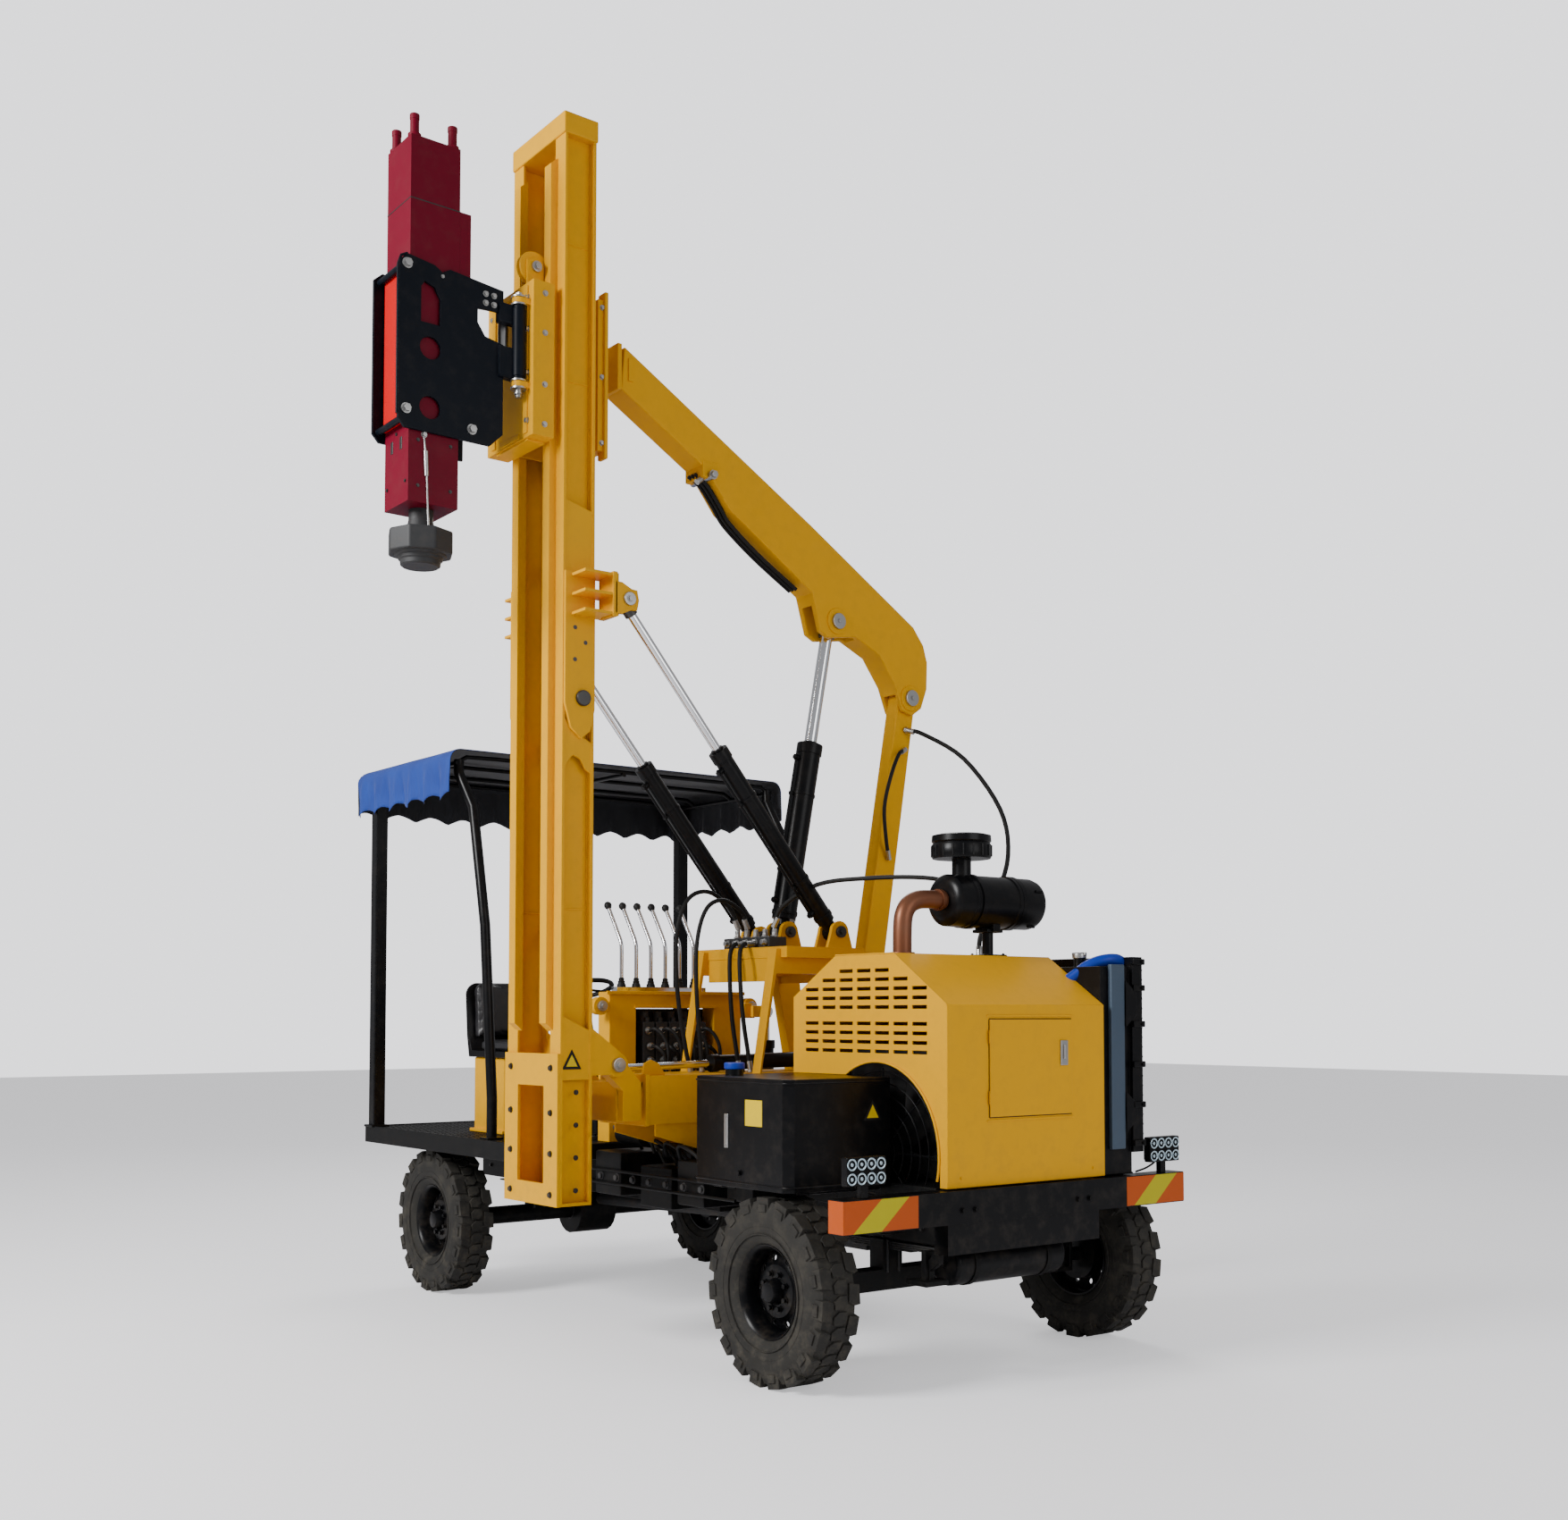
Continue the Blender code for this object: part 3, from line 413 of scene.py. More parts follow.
def coated(name, colour, faded_colour=None, fade=0.35, dirt=0.5, rough=0.32, metal=0.0,
        bump=0.02, dust_height=1.3, coat=0.0, dirt_colour=(0.13, 0.105, 0.08), gloss=0.35):
    """A weathered coat over a body colour."""
    material = bpy.data.materials.new(name)
    material.use_nodes = True
    tree = material.node_tree
    shader = tree.nodes["Principled BSDF"]
    group = add_node(tree, "ShaderNodeGroup", node_tree=weathered)
    group.inputs["Colour"].default_value = (*colour, 1)
    group.inputs["Faded colour"].default_value = (*(faded_colour or colour), 1)
    group.inputs["Dirt colour"].default_value = (*dirt_colour, 1)
    group.inputs["Fade"].default_value = fade
    group.inputs["Dirt"].default_value = dirt
    group.inputs["Dust height"].default_value = dust_height
    group.inputs["Roughness"].default_value = rough
    bumped = add_node(tree, "ShaderNodeBump")
    bumped.inputs["Strength"].default_value = bump
    bumped.inputs["Distance"].default_value = 0.002
    tree.links.new(group.outputs["Colour"], shader.inputs["Base Color"])
    tree.links.new(group.outputs["Roughness"], shader.inputs["Roughness"])
    tree.links.new(group.outputs["Height"], bumped.inputs["Height"])
    tree.links.new(bumped.outputs["Normal"], shader.inputs["Normal"])
    shader.inputs["Metallic"].default_value = metal
    shader.inputs["Specular IOR Level"].default_value = gloss
    if coat:
        shader.inputs["Coat Weight"].default_value = coat
        shader.inputs["Coat Roughness"].default_value = 0.15
    return material


yellow = coated("yellow enamel", (0.74, 0.358, 0.0), (0.78, 0.395, 0.0), 0.35, 0.30, 0.34,
    gloss=0.12)
black = coated("black enamel", (0.0022, 0.0024, 0.003), (0.006, 0.006, 0.007), 0.5, 0.22,
    0.24, gloss=0.16)
chassis_black = coated("chassis black", (0.003, 0.003, 0.0032), (0.009, 0.009, 0.009), 0.5,
    0.4, 0.40, dirt_colour=(0.045, 0.038, 0.03), gloss=0.14)
crimson = coated("crimson enamel", (0.130, 0.0, 0.012), (0.165, 0.002, 0.018), 0.5, 0.25,
    0.42, gloss=0.14)
red = coated("signal red", (0.50, 0.0, 0.003), (0.56, 0.001, 0.004), 0.4, 0.15, 0.42,
    gloss=0.08)
navy = coated("dark navy enamel", (0.0016, 0.0034, 0.0075), (0.003, 0.006, 0.011), 0.5, 0.2,
    0.36, gloss=0.13)
steel = coated("zinc steel", (0.42, 0.43, 0.44), (0.55, 0.53, 0.48), 0.5, 0.6, 0.28, metal=1.0)
dark_steel = coated("dark steel", (0.045, 0.045, 0.048), (0.11, 0.105, 0.095), 0.6, 0.5, 0.34,
    metal=0.85)
chrome = coated("hard chrome", (0.78, 0.79, 0.81), (0.7, 0.72, 0.75), 0.2, 0.1, 0.05, metal=1.0,
    bump=0.0)
iron = coated("grey casting", (0.02, 0.021, 0.023), (0.045, 0.045, 0.045), 0.5, 0.5, 0.5,
    bump=0.2)
rubber = coated("hose rubber", (0.005, 0.005, 0.005), (0.012, 0.012, 0.012), 0.5, 0.2, 0.5,
    bump=0.05, gloss=0.25)
copper = coated("rusty pipe", (0.14, 0.042, 0.015), (0.26, 0.11, 0.06), 0.8, 0.5, 0.34,
    metal=0.6)
blue_rubber = coated("blue silicone", (0.002, 0.028, 0.34), (0.008, 0.05, 0.42), 0.4, 0.1,
    0.38, gloss=0.3)
light_panel = coated("radiator panel", (0.055, 0.085, 0.125), (0.10, 0.14, 0.19), 0.6, 0.3, 0.38,
    metal=0.5)
label_yellow = coated("label yellow", (0.72, 0.50, 0.0), (0.7, 0.5, 0.01), 0.3, 0.3, 0.4,
    gloss=0.2)
lens = coated("lamp lens", (0.42, 0.58, 0.68), (0.6, 0.74, 0.80), 0.5, 0.1, 0.08, metal=0.3,
    bump=0.0, coat=1.0)
vinyl = coated("black vinyl", (0.010, 0.010, 0.012), (0.022, 0.022, 0.023), 0.4, 0.25, 0.34,
    bump=0.25, gloss=0.55)
tyre_rubber = coated("tyre rubber", (0.010, 0.010, 0.010), (0.040, 0.037, 0.031), 0.9, 0.85, 0.60,
    bump=0.1, dust_height=1.0, dirt_colour=(0.085, 0.076, 0.060), gloss=0.2)

# %% [markdown]
# The bumper ends carry retroreflective film: broad slanting bands of orange and yellow, made of
# tiny prisms. A wave of the position gives the bands, and a fine cell pattern gives the prisms.

# %% Reflective film
film = bpy.data.materials.new("reflective film")
film.use_nodes = True
tree = film.node_tree
shader = tree.nodes["Principled BSDF"]
place = add_node(tree, "ShaderNodeTexCoord")
parts = add_node(tree, "ShaderNodeSeparateXYZ")
tree.links.new(place.outputs["Object"], parts.inputs[0])
slant = add_node(tree, "ShaderNodeMath", operation="MULTIPLY_ADD")
slant.inputs[1].default_value = -1.15
tree.links.new(parts.outputs["Z"], slant.inputs[0])
mirrored = add_node(tree, "ShaderNodeMath", operation="SUBTRACT")
mirrored.inputs[1].default_value = CENTRE_Y
tree.links.new(parts.outputs["Y"], mirrored.inputs[0])
tree.links.new(mirrored.outputs[0], slant.inputs[2])
bands = add_node(tree, "ShaderNodeMath", operation="PINGPONG")
bands.inputs[1].default_value = 0.22625
offset = add_node(tree, "ShaderNodeMath", operation="ADD")
offset.inputs[1].default_value = 0.2567
tree.links.new(slant.outputs[0], offset.inputs[0])
tree.links.new(offset.outputs[0], bands.inputs[0])
which = add_node(tree, "ShaderNodeMath", operation="GREATER_THAN")
which.inputs[1].default_value = 0.146
tree.links.new(bands.outputs[0], which.inputs[0])
cells = add_node(tree, "ShaderNodeTexVoronoi")
cells.inputs["Scale"].default_value = 160
tree.links.new(place.outputs["Object"], cells.inputs["Vector"])
two = add_node(tree, "ShaderNodeMix", data_type="RGBA")
two.inputs["A"].default_value = (0.50, 0.075, 0.0, 1)
two.inputs["B"].default_value = (0.50, 0.44, 0.0, 1)
tree.links.new(which.outputs[0], two.inputs["Factor"])
tree.links.new(two.outputs["Result"], shader.inputs["Base Color"])
bumped = add_node(tree, "ShaderNodeBump")
bumped.inputs["Strength"].default_value = 0.15
bumped.inputs["Distance"].default_value = 0.001
tree.links.new(cells.outputs["Distance"], bumped.inputs["Height"])
tree.links.new(bumped.outputs["Normal"], shader.inputs["Normal"])
shader.inputs["Roughness"].default_value = 0.28
shader.inputs["Specular IOR Level"].default_value = 0.3

# %% [markdown]
# Canvas is woven. Two fine crossed waves give the threads, and a large noise varies the colour a little.


# %% Woven cloth
def woven(name, colour, light, scale=900):
    """Plain weave cloth in one colour, lighter in large random patches; the threads only bump the surface."""
    material = bpy.data.materials.new(name)
    material.use_nodes = True
    tree = material.node_tree
    shader = tree.nodes["Principled BSDF"]
    place = add_node(tree, "ShaderNodeTexCoord")
    threads = []
    for direction in ("X", "Y"):
        wave = add_node(tree, "ShaderNodeTexWave", bands_direction=direction)
        wave.inputs["Scale"].default_value = scale / 20
        wave.inputs["Distortion"].default_value = 0.4
        tree.links.new(place.outputs["Object"], wave.inputs["Vector"])
        threads.append(wave)
    both = add_node(tree, "ShaderNodeMath", operation="ADD")
    tree.links.new(threads[0].outputs["Fac"], both.inputs[0])
    tree.links.new(threads[1].outputs["Fac"], both.inputs[1])
    folds = add_node(tree, "ShaderNodeTexNoise")
    folds.inputs["Scale"].default_value = 7
    tree.links.new(place.outputs["Object"], folds.inputs["Vector"])
    mix = add_node(tree, "ShaderNodeMix", data_type="RGBA")
    mix.inputs["A"].default_value = (*colour, 1)
    mix.inputs["B"].default_value = (*light, 1)
    tree.links.new(folds.outputs["Fac"], mix.inputs["Factor"])
    tree.links.new(mix.outputs["Result"], shader.inputs["Base Color"])
    bumped = add_node(tree, "ShaderNodeBump")
    bumped.inputs["Strength"].default_value = 0.25
    bumped.inputs["Distance"].default_value = 0.001
    tree.links.new(both.outputs[0], bumped.inputs["Height"])
    tree.links.new(bumped.outputs["Normal"], shader.inputs["Normal"])
    shader.inputs["Roughness"].default_value = 0.75
    shader.inputs["Sheen Weight"].default_value = 0.1
    return material


canvas = woven("blue canvas", (0.001, 0.024, 0.21), (0.003, 0.050, 0.33))
# The black cloth is painted shade: it colours the canopy's underside for the shade it hangs in.
underside_shade_cloth = woven("canopy underside shade", (0.004, 0.005, 0.008), (0.010, 0.012, 0.018))

# %% [markdown]
# ## Softened copies of the plain steelwork
# Real plate has no razor edges: it is sheared, ground and painted, and the paint pools into a
# small radius that catches the light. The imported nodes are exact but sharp, so we copy each one,
# join its loose triangles, merge flat neighbours into whole faces and bevel the edges.


# %% Softened copies
def softened(node, material, edge=0.003, segments=2, smooth=40):
    """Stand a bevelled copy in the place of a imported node."""
    source = frame["nodes"][node]
    twin = source.copy()
    twin.data = source.data.copy()
    for key in list(twin.keys()):
        del twin[key]
    twin.name = node + "_skin"
    bpy.context.scene.collection.objects.link(twin)
    twin.parent = None
    only(twin)
    bpy.ops.object.mode_set(mode="EDIT")
    bpy.ops.mesh.select_all(action="SELECT")
    bpy.ops.mesh.remove_doubles(threshold=0.00002)
    bpy.ops.mesh.dissolve_limited(angle_limit=math.radians(1))
    bpy.ops.object.mode_set(mode="OBJECT")
    if edge:
        soften(twin, edge, segments)
    else:
        only(twin)
        bpy.ops.object.shade_smooth_by_angle(angle=math.radians(smooth))
    body = next(b for b, names in frame["record"]["behaviour"]["bodies"].items() if node in names)
    dress(twin, body, material)
    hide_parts(node)
    return twin


STEELWORK = {"platform": (chassis_black, 0.006), "frame_rail_left": (chassis_black, 0.006),
    "frame_rail_right": (chassis_black, 0.006), "front_bumper": (black, 0.008),
    "rear_deck": (chassis_black, 0.008), "front_axle": (chassis_black, 0.005),
    "rear_axle": (chassis_black, 0.005), "transmission": (iron, 0.008), "air_tank": (black, 0.02),
    "engine_block": (iron, 0.02), "hood_door": (yellow, 0.002), "radiator": (black, 0.006),
    "slide_beam": (yellow, 0.006), "cylinder_frame": (yellow, 0.005), "boom_column": (yellow, 0.008),
    "boom": (yellow, 0.008), "mast_beam_far": (yellow, 0.003), "mast_beam_near": (yellow, 0.003),
    "mast_cap": (yellow, 0.008), "mast_front_frame": (yellow, 0.003), "carriage": (yellow, 0.004),
    "console": (yellow, 0.006), "seat_base": (yellow, 0.01), "knuckle_right": (chassis_black, 0.004),
    "knuckle_left": (chassis_black, 0.004), "tilt_far_barrel": (black, 0.004),
    "tilt_near_barrel": (black, 0.004), "lift_barrel": (black, 0.004), "tilt_far_rod": (chrome, 0.003),
    "tilt_near_rod": (chrome, 0.003), "lift_rod": (chrome, 0.003), "hammer_body": (crimson, 0.006),
    "cradle": (navy, 0.003), "valve_bank": (black, 0.006), "steering_column": (black, 0.003),
    "canopy_post_rear_left": (black, 0.008), "canopy_post_rear_right": (black, 0.008),
    "canopy_post_front_left": (black, 0.0), "canopy_post_front_right": (black, 0.0),
    "steering_wheel": (rubber, 0.0), "oil_tank": (black, 0.012), }
skins = {}
for node, (finish, edge) in STEELWORK.items():
    skins[node] = softened(node, finish, edge)
print(len(skins), "softened copies")

# %% [markdown]
# ## Tyres and rims
# A tyre is a carcass turned round the axle with rows of rubber blocks on it. The carcass is spun
# from a profile, one block of each kind is modelled, and the blocks are copied round the tyre.


# %% One tyre, at the origin
RIM_R = 0.215
TREAD_R = TYRE_R - 0.010
CARCASS = [(-0.080, RIM_R), (-0.092, 0.226), (-0.104, 0.25), (-0.112, 0.285), (-0.1145, 0.32),
    (-0.112, 0.352), (-0.104, 0.382), (-0.090, TREAD_R - 0.008), (-0.06, TREAD_R - 0.001),
    (0.0, TREAD_R + 0.002), (0.06, TREAD_R - 0.001), (0.090, TREAD_R - 0.008), (0.104, 0.382),
    (0.112, 0.352), (0.1145, 0.32), (0.112, 0.285), (0.104, 0.25), (0.092, 0.226), (0.080, RIM_R)]
LUG_COUNT = 19


def tread_block(outline, r0, r1, edge=0.003):
    """A rubber block with an outline of (round the tyre, across the tyre) points."""
    ob = plate([(a, b) for a, b in outline], "z", r0, r1, edge=edge)
    return ob


def make_tyre():
    """Carcass, shoulder lugs, centre blocks and sidewall rings, joined into one mesh."""
    parts = [turned(CARCASS, (0, 0, 0), "Y", 76)]
    shoulder = [(-0.046, 0.050), (0.036, 0.042), (0.053, 0.075), (0.050, 0.107), (-0.036, 0.107),
        (-0.040, 0.08)]
    middle = [(-0.030, -0.010), (-0.006, -0.038), (0.030, -0.034), (0.031, 0.010), (0.008, 0.038),
        (-0.029, 0.034)]
    lug = tread_block(shoulder, 0.372, TYRE_R - 0.001)
    mirror = copy_of(lug, Matrix.Rotation(math.pi, 4, "Z"))
    centre = tread_block(middle, TREAD_R - 0.01, TYRE_R)
    rib = tread_block([(-0.030, 0.100), (0.030, 0.100), (0.026, 0.1150), (-0.026, 0.1150)], 0.362, 0.398,
        0.003)
    rib_twin = copy_of(rib, Matrix.Rotation(math.pi, 4, "Z"))
    step = math.tau / LUG_COUNT
    for i in range(LUG_COUNT):
        parts.append(copy_of(lug, Matrix.Rotation(step * i, 4, "Y")))
        parts.append(copy_of(mirror, Matrix.Rotation(step * (i + 0.5), 4, "Y")))
        parts.append(copy_of(centre, Matrix.Rotation(step * (i + 0.25), 4, "Y")))
        parts.append(copy_of(centre, Matrix.Rotation(step * (i + 0.75), 4, "Y")))
        parts.append(copy_of(rib, Matrix.Rotation(step * (i + 0.02), 4, "Y")))
        parts.append(copy_of(rib_twin, Matrix.Rotation(step * (i + 0.52), 4, "Y")))
    for spare in (lug, mirror, centre, rib, rib_twin):
        bpy.data.objects.remove(spare, do_unlink=True)
    for side in (-1, 1):
        for r in (0.262, 0.300):
            ring = [(side * 0.1075, r - 0.004), (side * 0.1145, r - 0.002), (side * 0.1145, r + 0.002),
                (side * 0.1075, r + 0.004)]
            parts.append(turned(ring, (0, 0, 0), "Y", 76))
    return together(parts, "tyre_model")


# %% [markdown]
# The rim is pressed steel: a stepped disc with hand holes inside a rolled barrel, held by a ring
# of nuts round a hub. The outboard side is +Y in the model and is turned for the other wheels.


# %% One rim, at the origin
def make_rim():
    """Barrel, dished disc, nuts and hub cap, joined."""
    barrel = turned([(-0.084, 0.2145), (-0.084, 0.205), (-0.070, 0.196), (-0.04, 0.186), (0.04, 0.184),
        (0.066, 0.194), (0.080, 0.203), (0.086, 0.2145), (0.078, 0.2147), (-0.078, 0.2147),
        (-0.084, 0.2145)], (0, 0, 0), "Y", 64)
    disc = turned([(-0.012, 0.187), (0.000, 0.170), (0.004, 0.150), (0.012, 0.132), (0.030, 0.120),
        (0.034, 0.100), (0.034, 0.060), (0.024, 0.060), (0.024, 0.098), (0.020, 0.112), (0.003, 0.124),
        (-0.006, 0.150), (-0.010, 0.168), (-0.020, 0.187), (-0.012, 0.187)], (0, 0, 0), "Y", 64)
    parts = []
    for i in range(10):
        a = math.tau * i / 10
        hole = round_bar((0.152 * math.cos(a), -0.05, 0.152 * math.sin(a)),
            (0.152 * math.cos(a), 0.06, 0.152 * math.sin(a)), 0.014, 20)
        parts.append(hole)
    disc = cut_away(disc, together(parts))
    shapes = [barrel, disc]
    for i in range(8):
        a = math.tau * (i + 0.5) / 8
        shapes.append(nut((0.083 * math.cos(a), 0.034, 0.083 * math.sin(a)), (0, 1, 0), 0.021, 0.02))
    shapes.append(turned([(0.02, 0.062), (0.034, 0.062), (0.052, 0.056), (0.072, 0.050), (0.082, 0.044),
        (0.086, 0.030), (0.086, 0.0001)], (0, 0, 0), "Y", 48))
    shapes.append(turned([(-0.07, 0.0001), (-0.07, 0.13), (-0.03, 0.135), (-0.02, 0.10), (-0.02, 0.0001)],
        (0, 0, 0), "Y", 40))
    return together(shapes, "rim_model")


tyre_model = make_tyre()
rim_model = make_rim()
for end in ("front", "rear"):
    for side in ("right", "left"):
        node = "tyre_%s_%s" % (end, side)
        lo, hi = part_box(node)
        centre = (lo + hi) / 2
        turn = Matrix.Identity(4) if side == "left" else Matrix.Rotation(math.pi, 4, "Z")
        tyre = copy_of(tyre_model, Matrix.Translation(centre) @ turn)
        dress(tyre, "wheel_%s_%s" % (end, side), tyre_rubber, node + "_tread")
        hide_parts(node)
        rim = copy_of(rim_model, Matrix.Translation(centre) @ turn)
        dress(rim, "wheel_%s_%s" % (end, side), black, "rim_%s_%s_pressed" % (end, side))
        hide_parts("rim_%s_%s" % (end, side))
print("tyre faces", len(tyre_model.data.polygons), "rim faces", len(rim_model.data.polygons))
for model in (tyre_model, rim_model):
    bpy.data.objects.remove(model, do_unlink=True)

# %% [markdown]
# ## The engine hood
# The hood is a thin pressed shell with rows of cooling slots. The slots are cut right through, so
# they show the dark bay behind. A box cutter is laid for each slot along each row.

# %% Hood with louvre slots
hood = softened("hood", yellow, 0.0)
SLOT_PITCH, SLOT_LENGTH, SLOT_TALL = 0.132, 0.100, 0.018
rows = [(1.893, 3), (1.850, 5), (1.806, 7), (1.762, 7), (1.718, 7), (1.640, 7), (1.596, 7), (1.552, 7),
    (1.508, 7)]
cutters = []
for z, count in rows:
    for i in range(count):
        x = -0.040 + (i - (count - 1) / 2) * SLOT_PITCH
        middle = at(x, -0.484, z)
        cutters.append(block(middle - Vector((SLOT_LENGTH / 2, 0.03, SLOT_TALL / 2)),
            middle + Vector((SLOT_LENGTH / 2, 0.03, SLOT_TALL / 2)), edge=0))
cut_away(hood, together(cutters))
soften(hood, 0.0022, 1, 50)
print("hood slots", sum(count for z, count in rows))

# %% [markdown]
# The slots are pressed outwards along their upper edge, so that rain runs over them. Each gets a
# thin lip. The seams between the hood's panels, the hinges and the latch are added as well.

# %% Hood trim
lips = []
for z, count in rows:
    for i in range(count):
        x = -0.040 + (i - (count - 1) / 2) * SLOT_PITCH
        middle = at(x, -0.484, z + SLOT_TALL / 2)
        lips.append(block(middle + Vector((-SLOT_LENGTH / 2, -0.0035, -0.001)),
            middle + Vector((SLOT_LENGTH / 2, 0.002, 0.003)), edge=0.001, segments=1))
front = at(0.542, 0, 0).x
lips.append(block((front - 0.004, at(0, -0.235, 0).y, 1.672), (front + 0.004, at(0, 0.345, 0).y, 1.682),
    0.002))
lips.append(block((front - 0.004, at(0, -0.235, 0).y, 1.188), (front + 0.004, at(0, 0.345, 0).y, 1.198),
    0.002))
for y in (-0.400, 0.480):
    lips.append(nut(at(0.542, y, 0.94), (1, 0, 0), 0.010, 0.006))
lips.append(pipe([at(-0.25, -0.4845, 1.9725), at(0.178, -0.4845, 1.9725), at(0.541, -0.4845, 1.729)], 0.003,
    3, smooth=False))
dress(together(lips), "chassis", yellow, "hood_trim")
arch_lip = [at(0.06 + 0.43 * math.cos(math.radians(a)), -0.488, 1.03 + 0.43 * math.sin(math.radians(a)))
    for a in range(-14, 124, 6)]
dress(pipe(arch_lip, 0.006, 4, smooth=False), "chassis", yellow, "hood_arch_edge")
door_lo, door_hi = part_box("hood_door")
# The black strips round the door's edges are painted shade for the gap between the door and the hood.
seam = []
for z in (door_lo.z - 0.001, door_hi.z + 0.001):
    seam.append(block((door_lo.x + 0.0002, door_lo.y, z - 0.0035),
        (door_lo.x + 0.0030, door_hi.y, z + 0.0035), 0.0))
for y in (door_lo.y - 0.001, door_hi.y + 0.001):
    seam.append(block((door_lo.x + 0.0002, y - 0.002, door_lo.z),
        (door_lo.x + 0.0020, y + 0.002, door_hi.z), 0.0))
dress(together(seam), "chassis", rubber, "hood_door_gap_shade")
latch = [block((door_hi.x, door_hi.y - 0.085, 1.44), (door_hi.x + 0.008, door_hi.y - 0.035, 1.56), 0.006, 3)]
latch.append(block((door_hi.x + 0.006, door_hi.y - 0.070, 1.47),
    (door_hi.x + 0.016, door_hi.y - 0.050, 1.54), 0.005, 3))
dress(together(latch), "hood_door", steel, "hood_door_latch")
hinges = [round_bar((door_lo.x + 0.010, door_lo.y - 0.003, z),
    (door_lo.x + 0.010, door_lo.y - 0.003, z + 0.06), 0.006, 16) for z in (1.27, 1.55)]
dress(together(hinges), "chassis", yellow, "hood_door_hinges")

# %% [markdown]
# Through the arch we see the fan guard: wire rings on radial wires in front of the dark fan.

# %% Fan guard
guard = []
hub = at(0.06, -0.455, 1.03)
for r in (0.09, 0.15, 0.21, 0.27, 0.33, 0.385):
    guard.append(pipe([hub + Vector((r * math.cos(a), 0, r * math.sin(a)))
        for a in [math.tau * k / 36 for k in range(37)]], 0.0035, 2, smooth=False))
for k in range(8):
    a = math.tau * k / 8
    guard.append(round_bar(hub + Vector((0.05 * math.cos(a), 0.006, 0.05 * math.sin(a))),
        hub + Vector((0.40 * math.cos(a), 0.006, 0.40 * math.sin(a))), 0.005, 10))
guard.append(round_bar(hub + Vector((0, -0.004, 0)), hub + Vector((0, 0.01, 0)), 0.07, 32, edge=0.003))
dress(together(guard), "chassis", black, "fan_guard")
blades = []
for k in range(7):
    a = math.tau * k / 7
    blade = plate([(-0.05, 0.06), (0.05, 0.05), (0.07, 0.34), (-0.06, 0.36)], "y", -0.002, 0.002, 0.001)
    blade.data.transform(Matrix.Translation(hub + Vector((0, 0.07, 0))) @ Matrix.Rotation(a, 4, "Y")
        @ Matrix.Rotation(math.radians(28), 4, "Z"))
    blades.append(blade)
blades.append(round_bar(hub + Vector((0, 0.03, 0)), hub + Vector((0, 0.16, 0)), 0.07, 32, edge=0.006))
dress(together(blades), "chassis", chassis_black, "cooling_fan")

# %% [markdown]
# ## Oil tank
# A welded box with rolled corners: a filler cap, a level gauge, seams and a drain plug.

# %% Oil tank fittings
tank_top = 1.39
cap_place = at(-0.45, -0.95, tank_top)
cap = [round_bar(cap_place + Vector((0, 0, 0.030)), cap_place + Vector((0, 0, 0.062)), 0.050, 32, edge=0.006)]
dress(together(cap), "chassis", blue_rubber, "tank_filler_cap")
seams = [pipe([at(-0.59, -1.06, z), at(-0.57, -1.088, z), at(-0.55, -1.1, z), at(0.12, -1.1, z),
    at(0.148, -1.088, z), at(0.16, -1.06, z), at(0.16, -0.50, z)], 0.005, 3, smooth=False)
    for z in (0.905, 1.372)]
seams.append(nut(at(-0.2, -1.1, 0.95), (0, -1, 0), 0.02))
seams.append(block(at(-0.56, -1.0, 0.855), at(-0.48, -0.5, 0.879), 0.006))
seams.append(block(at(0.02, -1.0, 0.862), at(0.10, -0.5, 0.879), 0.006))
dress(together(seams), "chassis", black, "tank_seams")
gauge = [block(at(-0.32, -1.107, 1.06), at(-0.29, -1.098, 1.22), 0.004, 3),
    nut(at(-0.305, -1.106, 1.075), (0, -1, 0), 0.009, 0.005),
    nut(at(-0.305, -1.106, 1.205), (0, -1, 0), 0.009, 0.005)]
dress(together(gauge), "chassis", steel, "tank_level_gauge")
label = plate(shifted([(-0.635, 1.203), (-0.565, 1.203), (-0.60, 1.265)], "x"), "x", at(0.16, 0, 0).x,
    at(0.1616, 0, 0).x, 0.0)
border = plate(shifted([(-0.655, 1.192), (-0.545, 1.192), (-0.60, 1.287)], "x"), "x", at(0.16, 0, 0).x,
    at(0.1609, 0, 0).x, 0.0)
dress(border, "chassis", rubber, "tank_label_border")
tag = block(at(-0.16, -1.1012, 1.17), at(-0.03, -1.0995, 1.29), 0.0004, 1)
dress(together([label, tag]), "chassis", label_yellow, "blank_labels")

# %% [markdown]
# ## Radiator
# The cooler stands beside the hood: a black shroud, a light finned core seen end on, a bolted
# guard frame, a blue silicone hose over the top and a filler neck with its cap.

# %% Radiator details
panel = block(at(0.5195, 0.62, 1.02), at(0.545, 0.72, 1.93), 0.006)
dress(panel, "chassis", light_panel, "radiator_side_tank")
guard_bits = []
for z in (1.03, 1.22, 1.42, 1.62, 1.80, 1.93):
    guard_bits.append(block(at(0.535, 0.775, z), at(0.556, 0.860, z + 0.03), 0.004))
    guard_bits.append(nut(at(0.556, 0.835, z + 0.015), (1, 0, 0), 0.012, 0.008))
for z0, z1 in ((1.10, 1.30), (1.62, 1.85)):
    guard_bits.append(plate(shifted([(0.72, z0), (0.80, z0 + 0.06), (0.80, z1 - 0.06), (0.72, z1)], "x"),
        "x", at(0.546, 0, 0).x, at(0.552, 0, 0).x, 0.002))
for k in range(19):
    guard_bits.append(round_bar(at(0.01, 0.866, 1.04 + 0.048 * k), at(0.53, 0.866, 1.04 + 0.048 * k),
        0.0035, 8))
for k in range(5):
    guard_bits.append(round_bar(at(0.02 + 0.125 * k, 0.872, 1.0), at(0.02 + 0.125 * k, 0.872, 1.96), 0.004,
        8))
guard_bits.append(round_bar(at(0.30, 0.66, 1.915), at(0.30, 0.66, 1.965), 0.028, 24, edge=0.003))
dress(together(guard_bits), "chassis", black, "radiator_guard_frame")
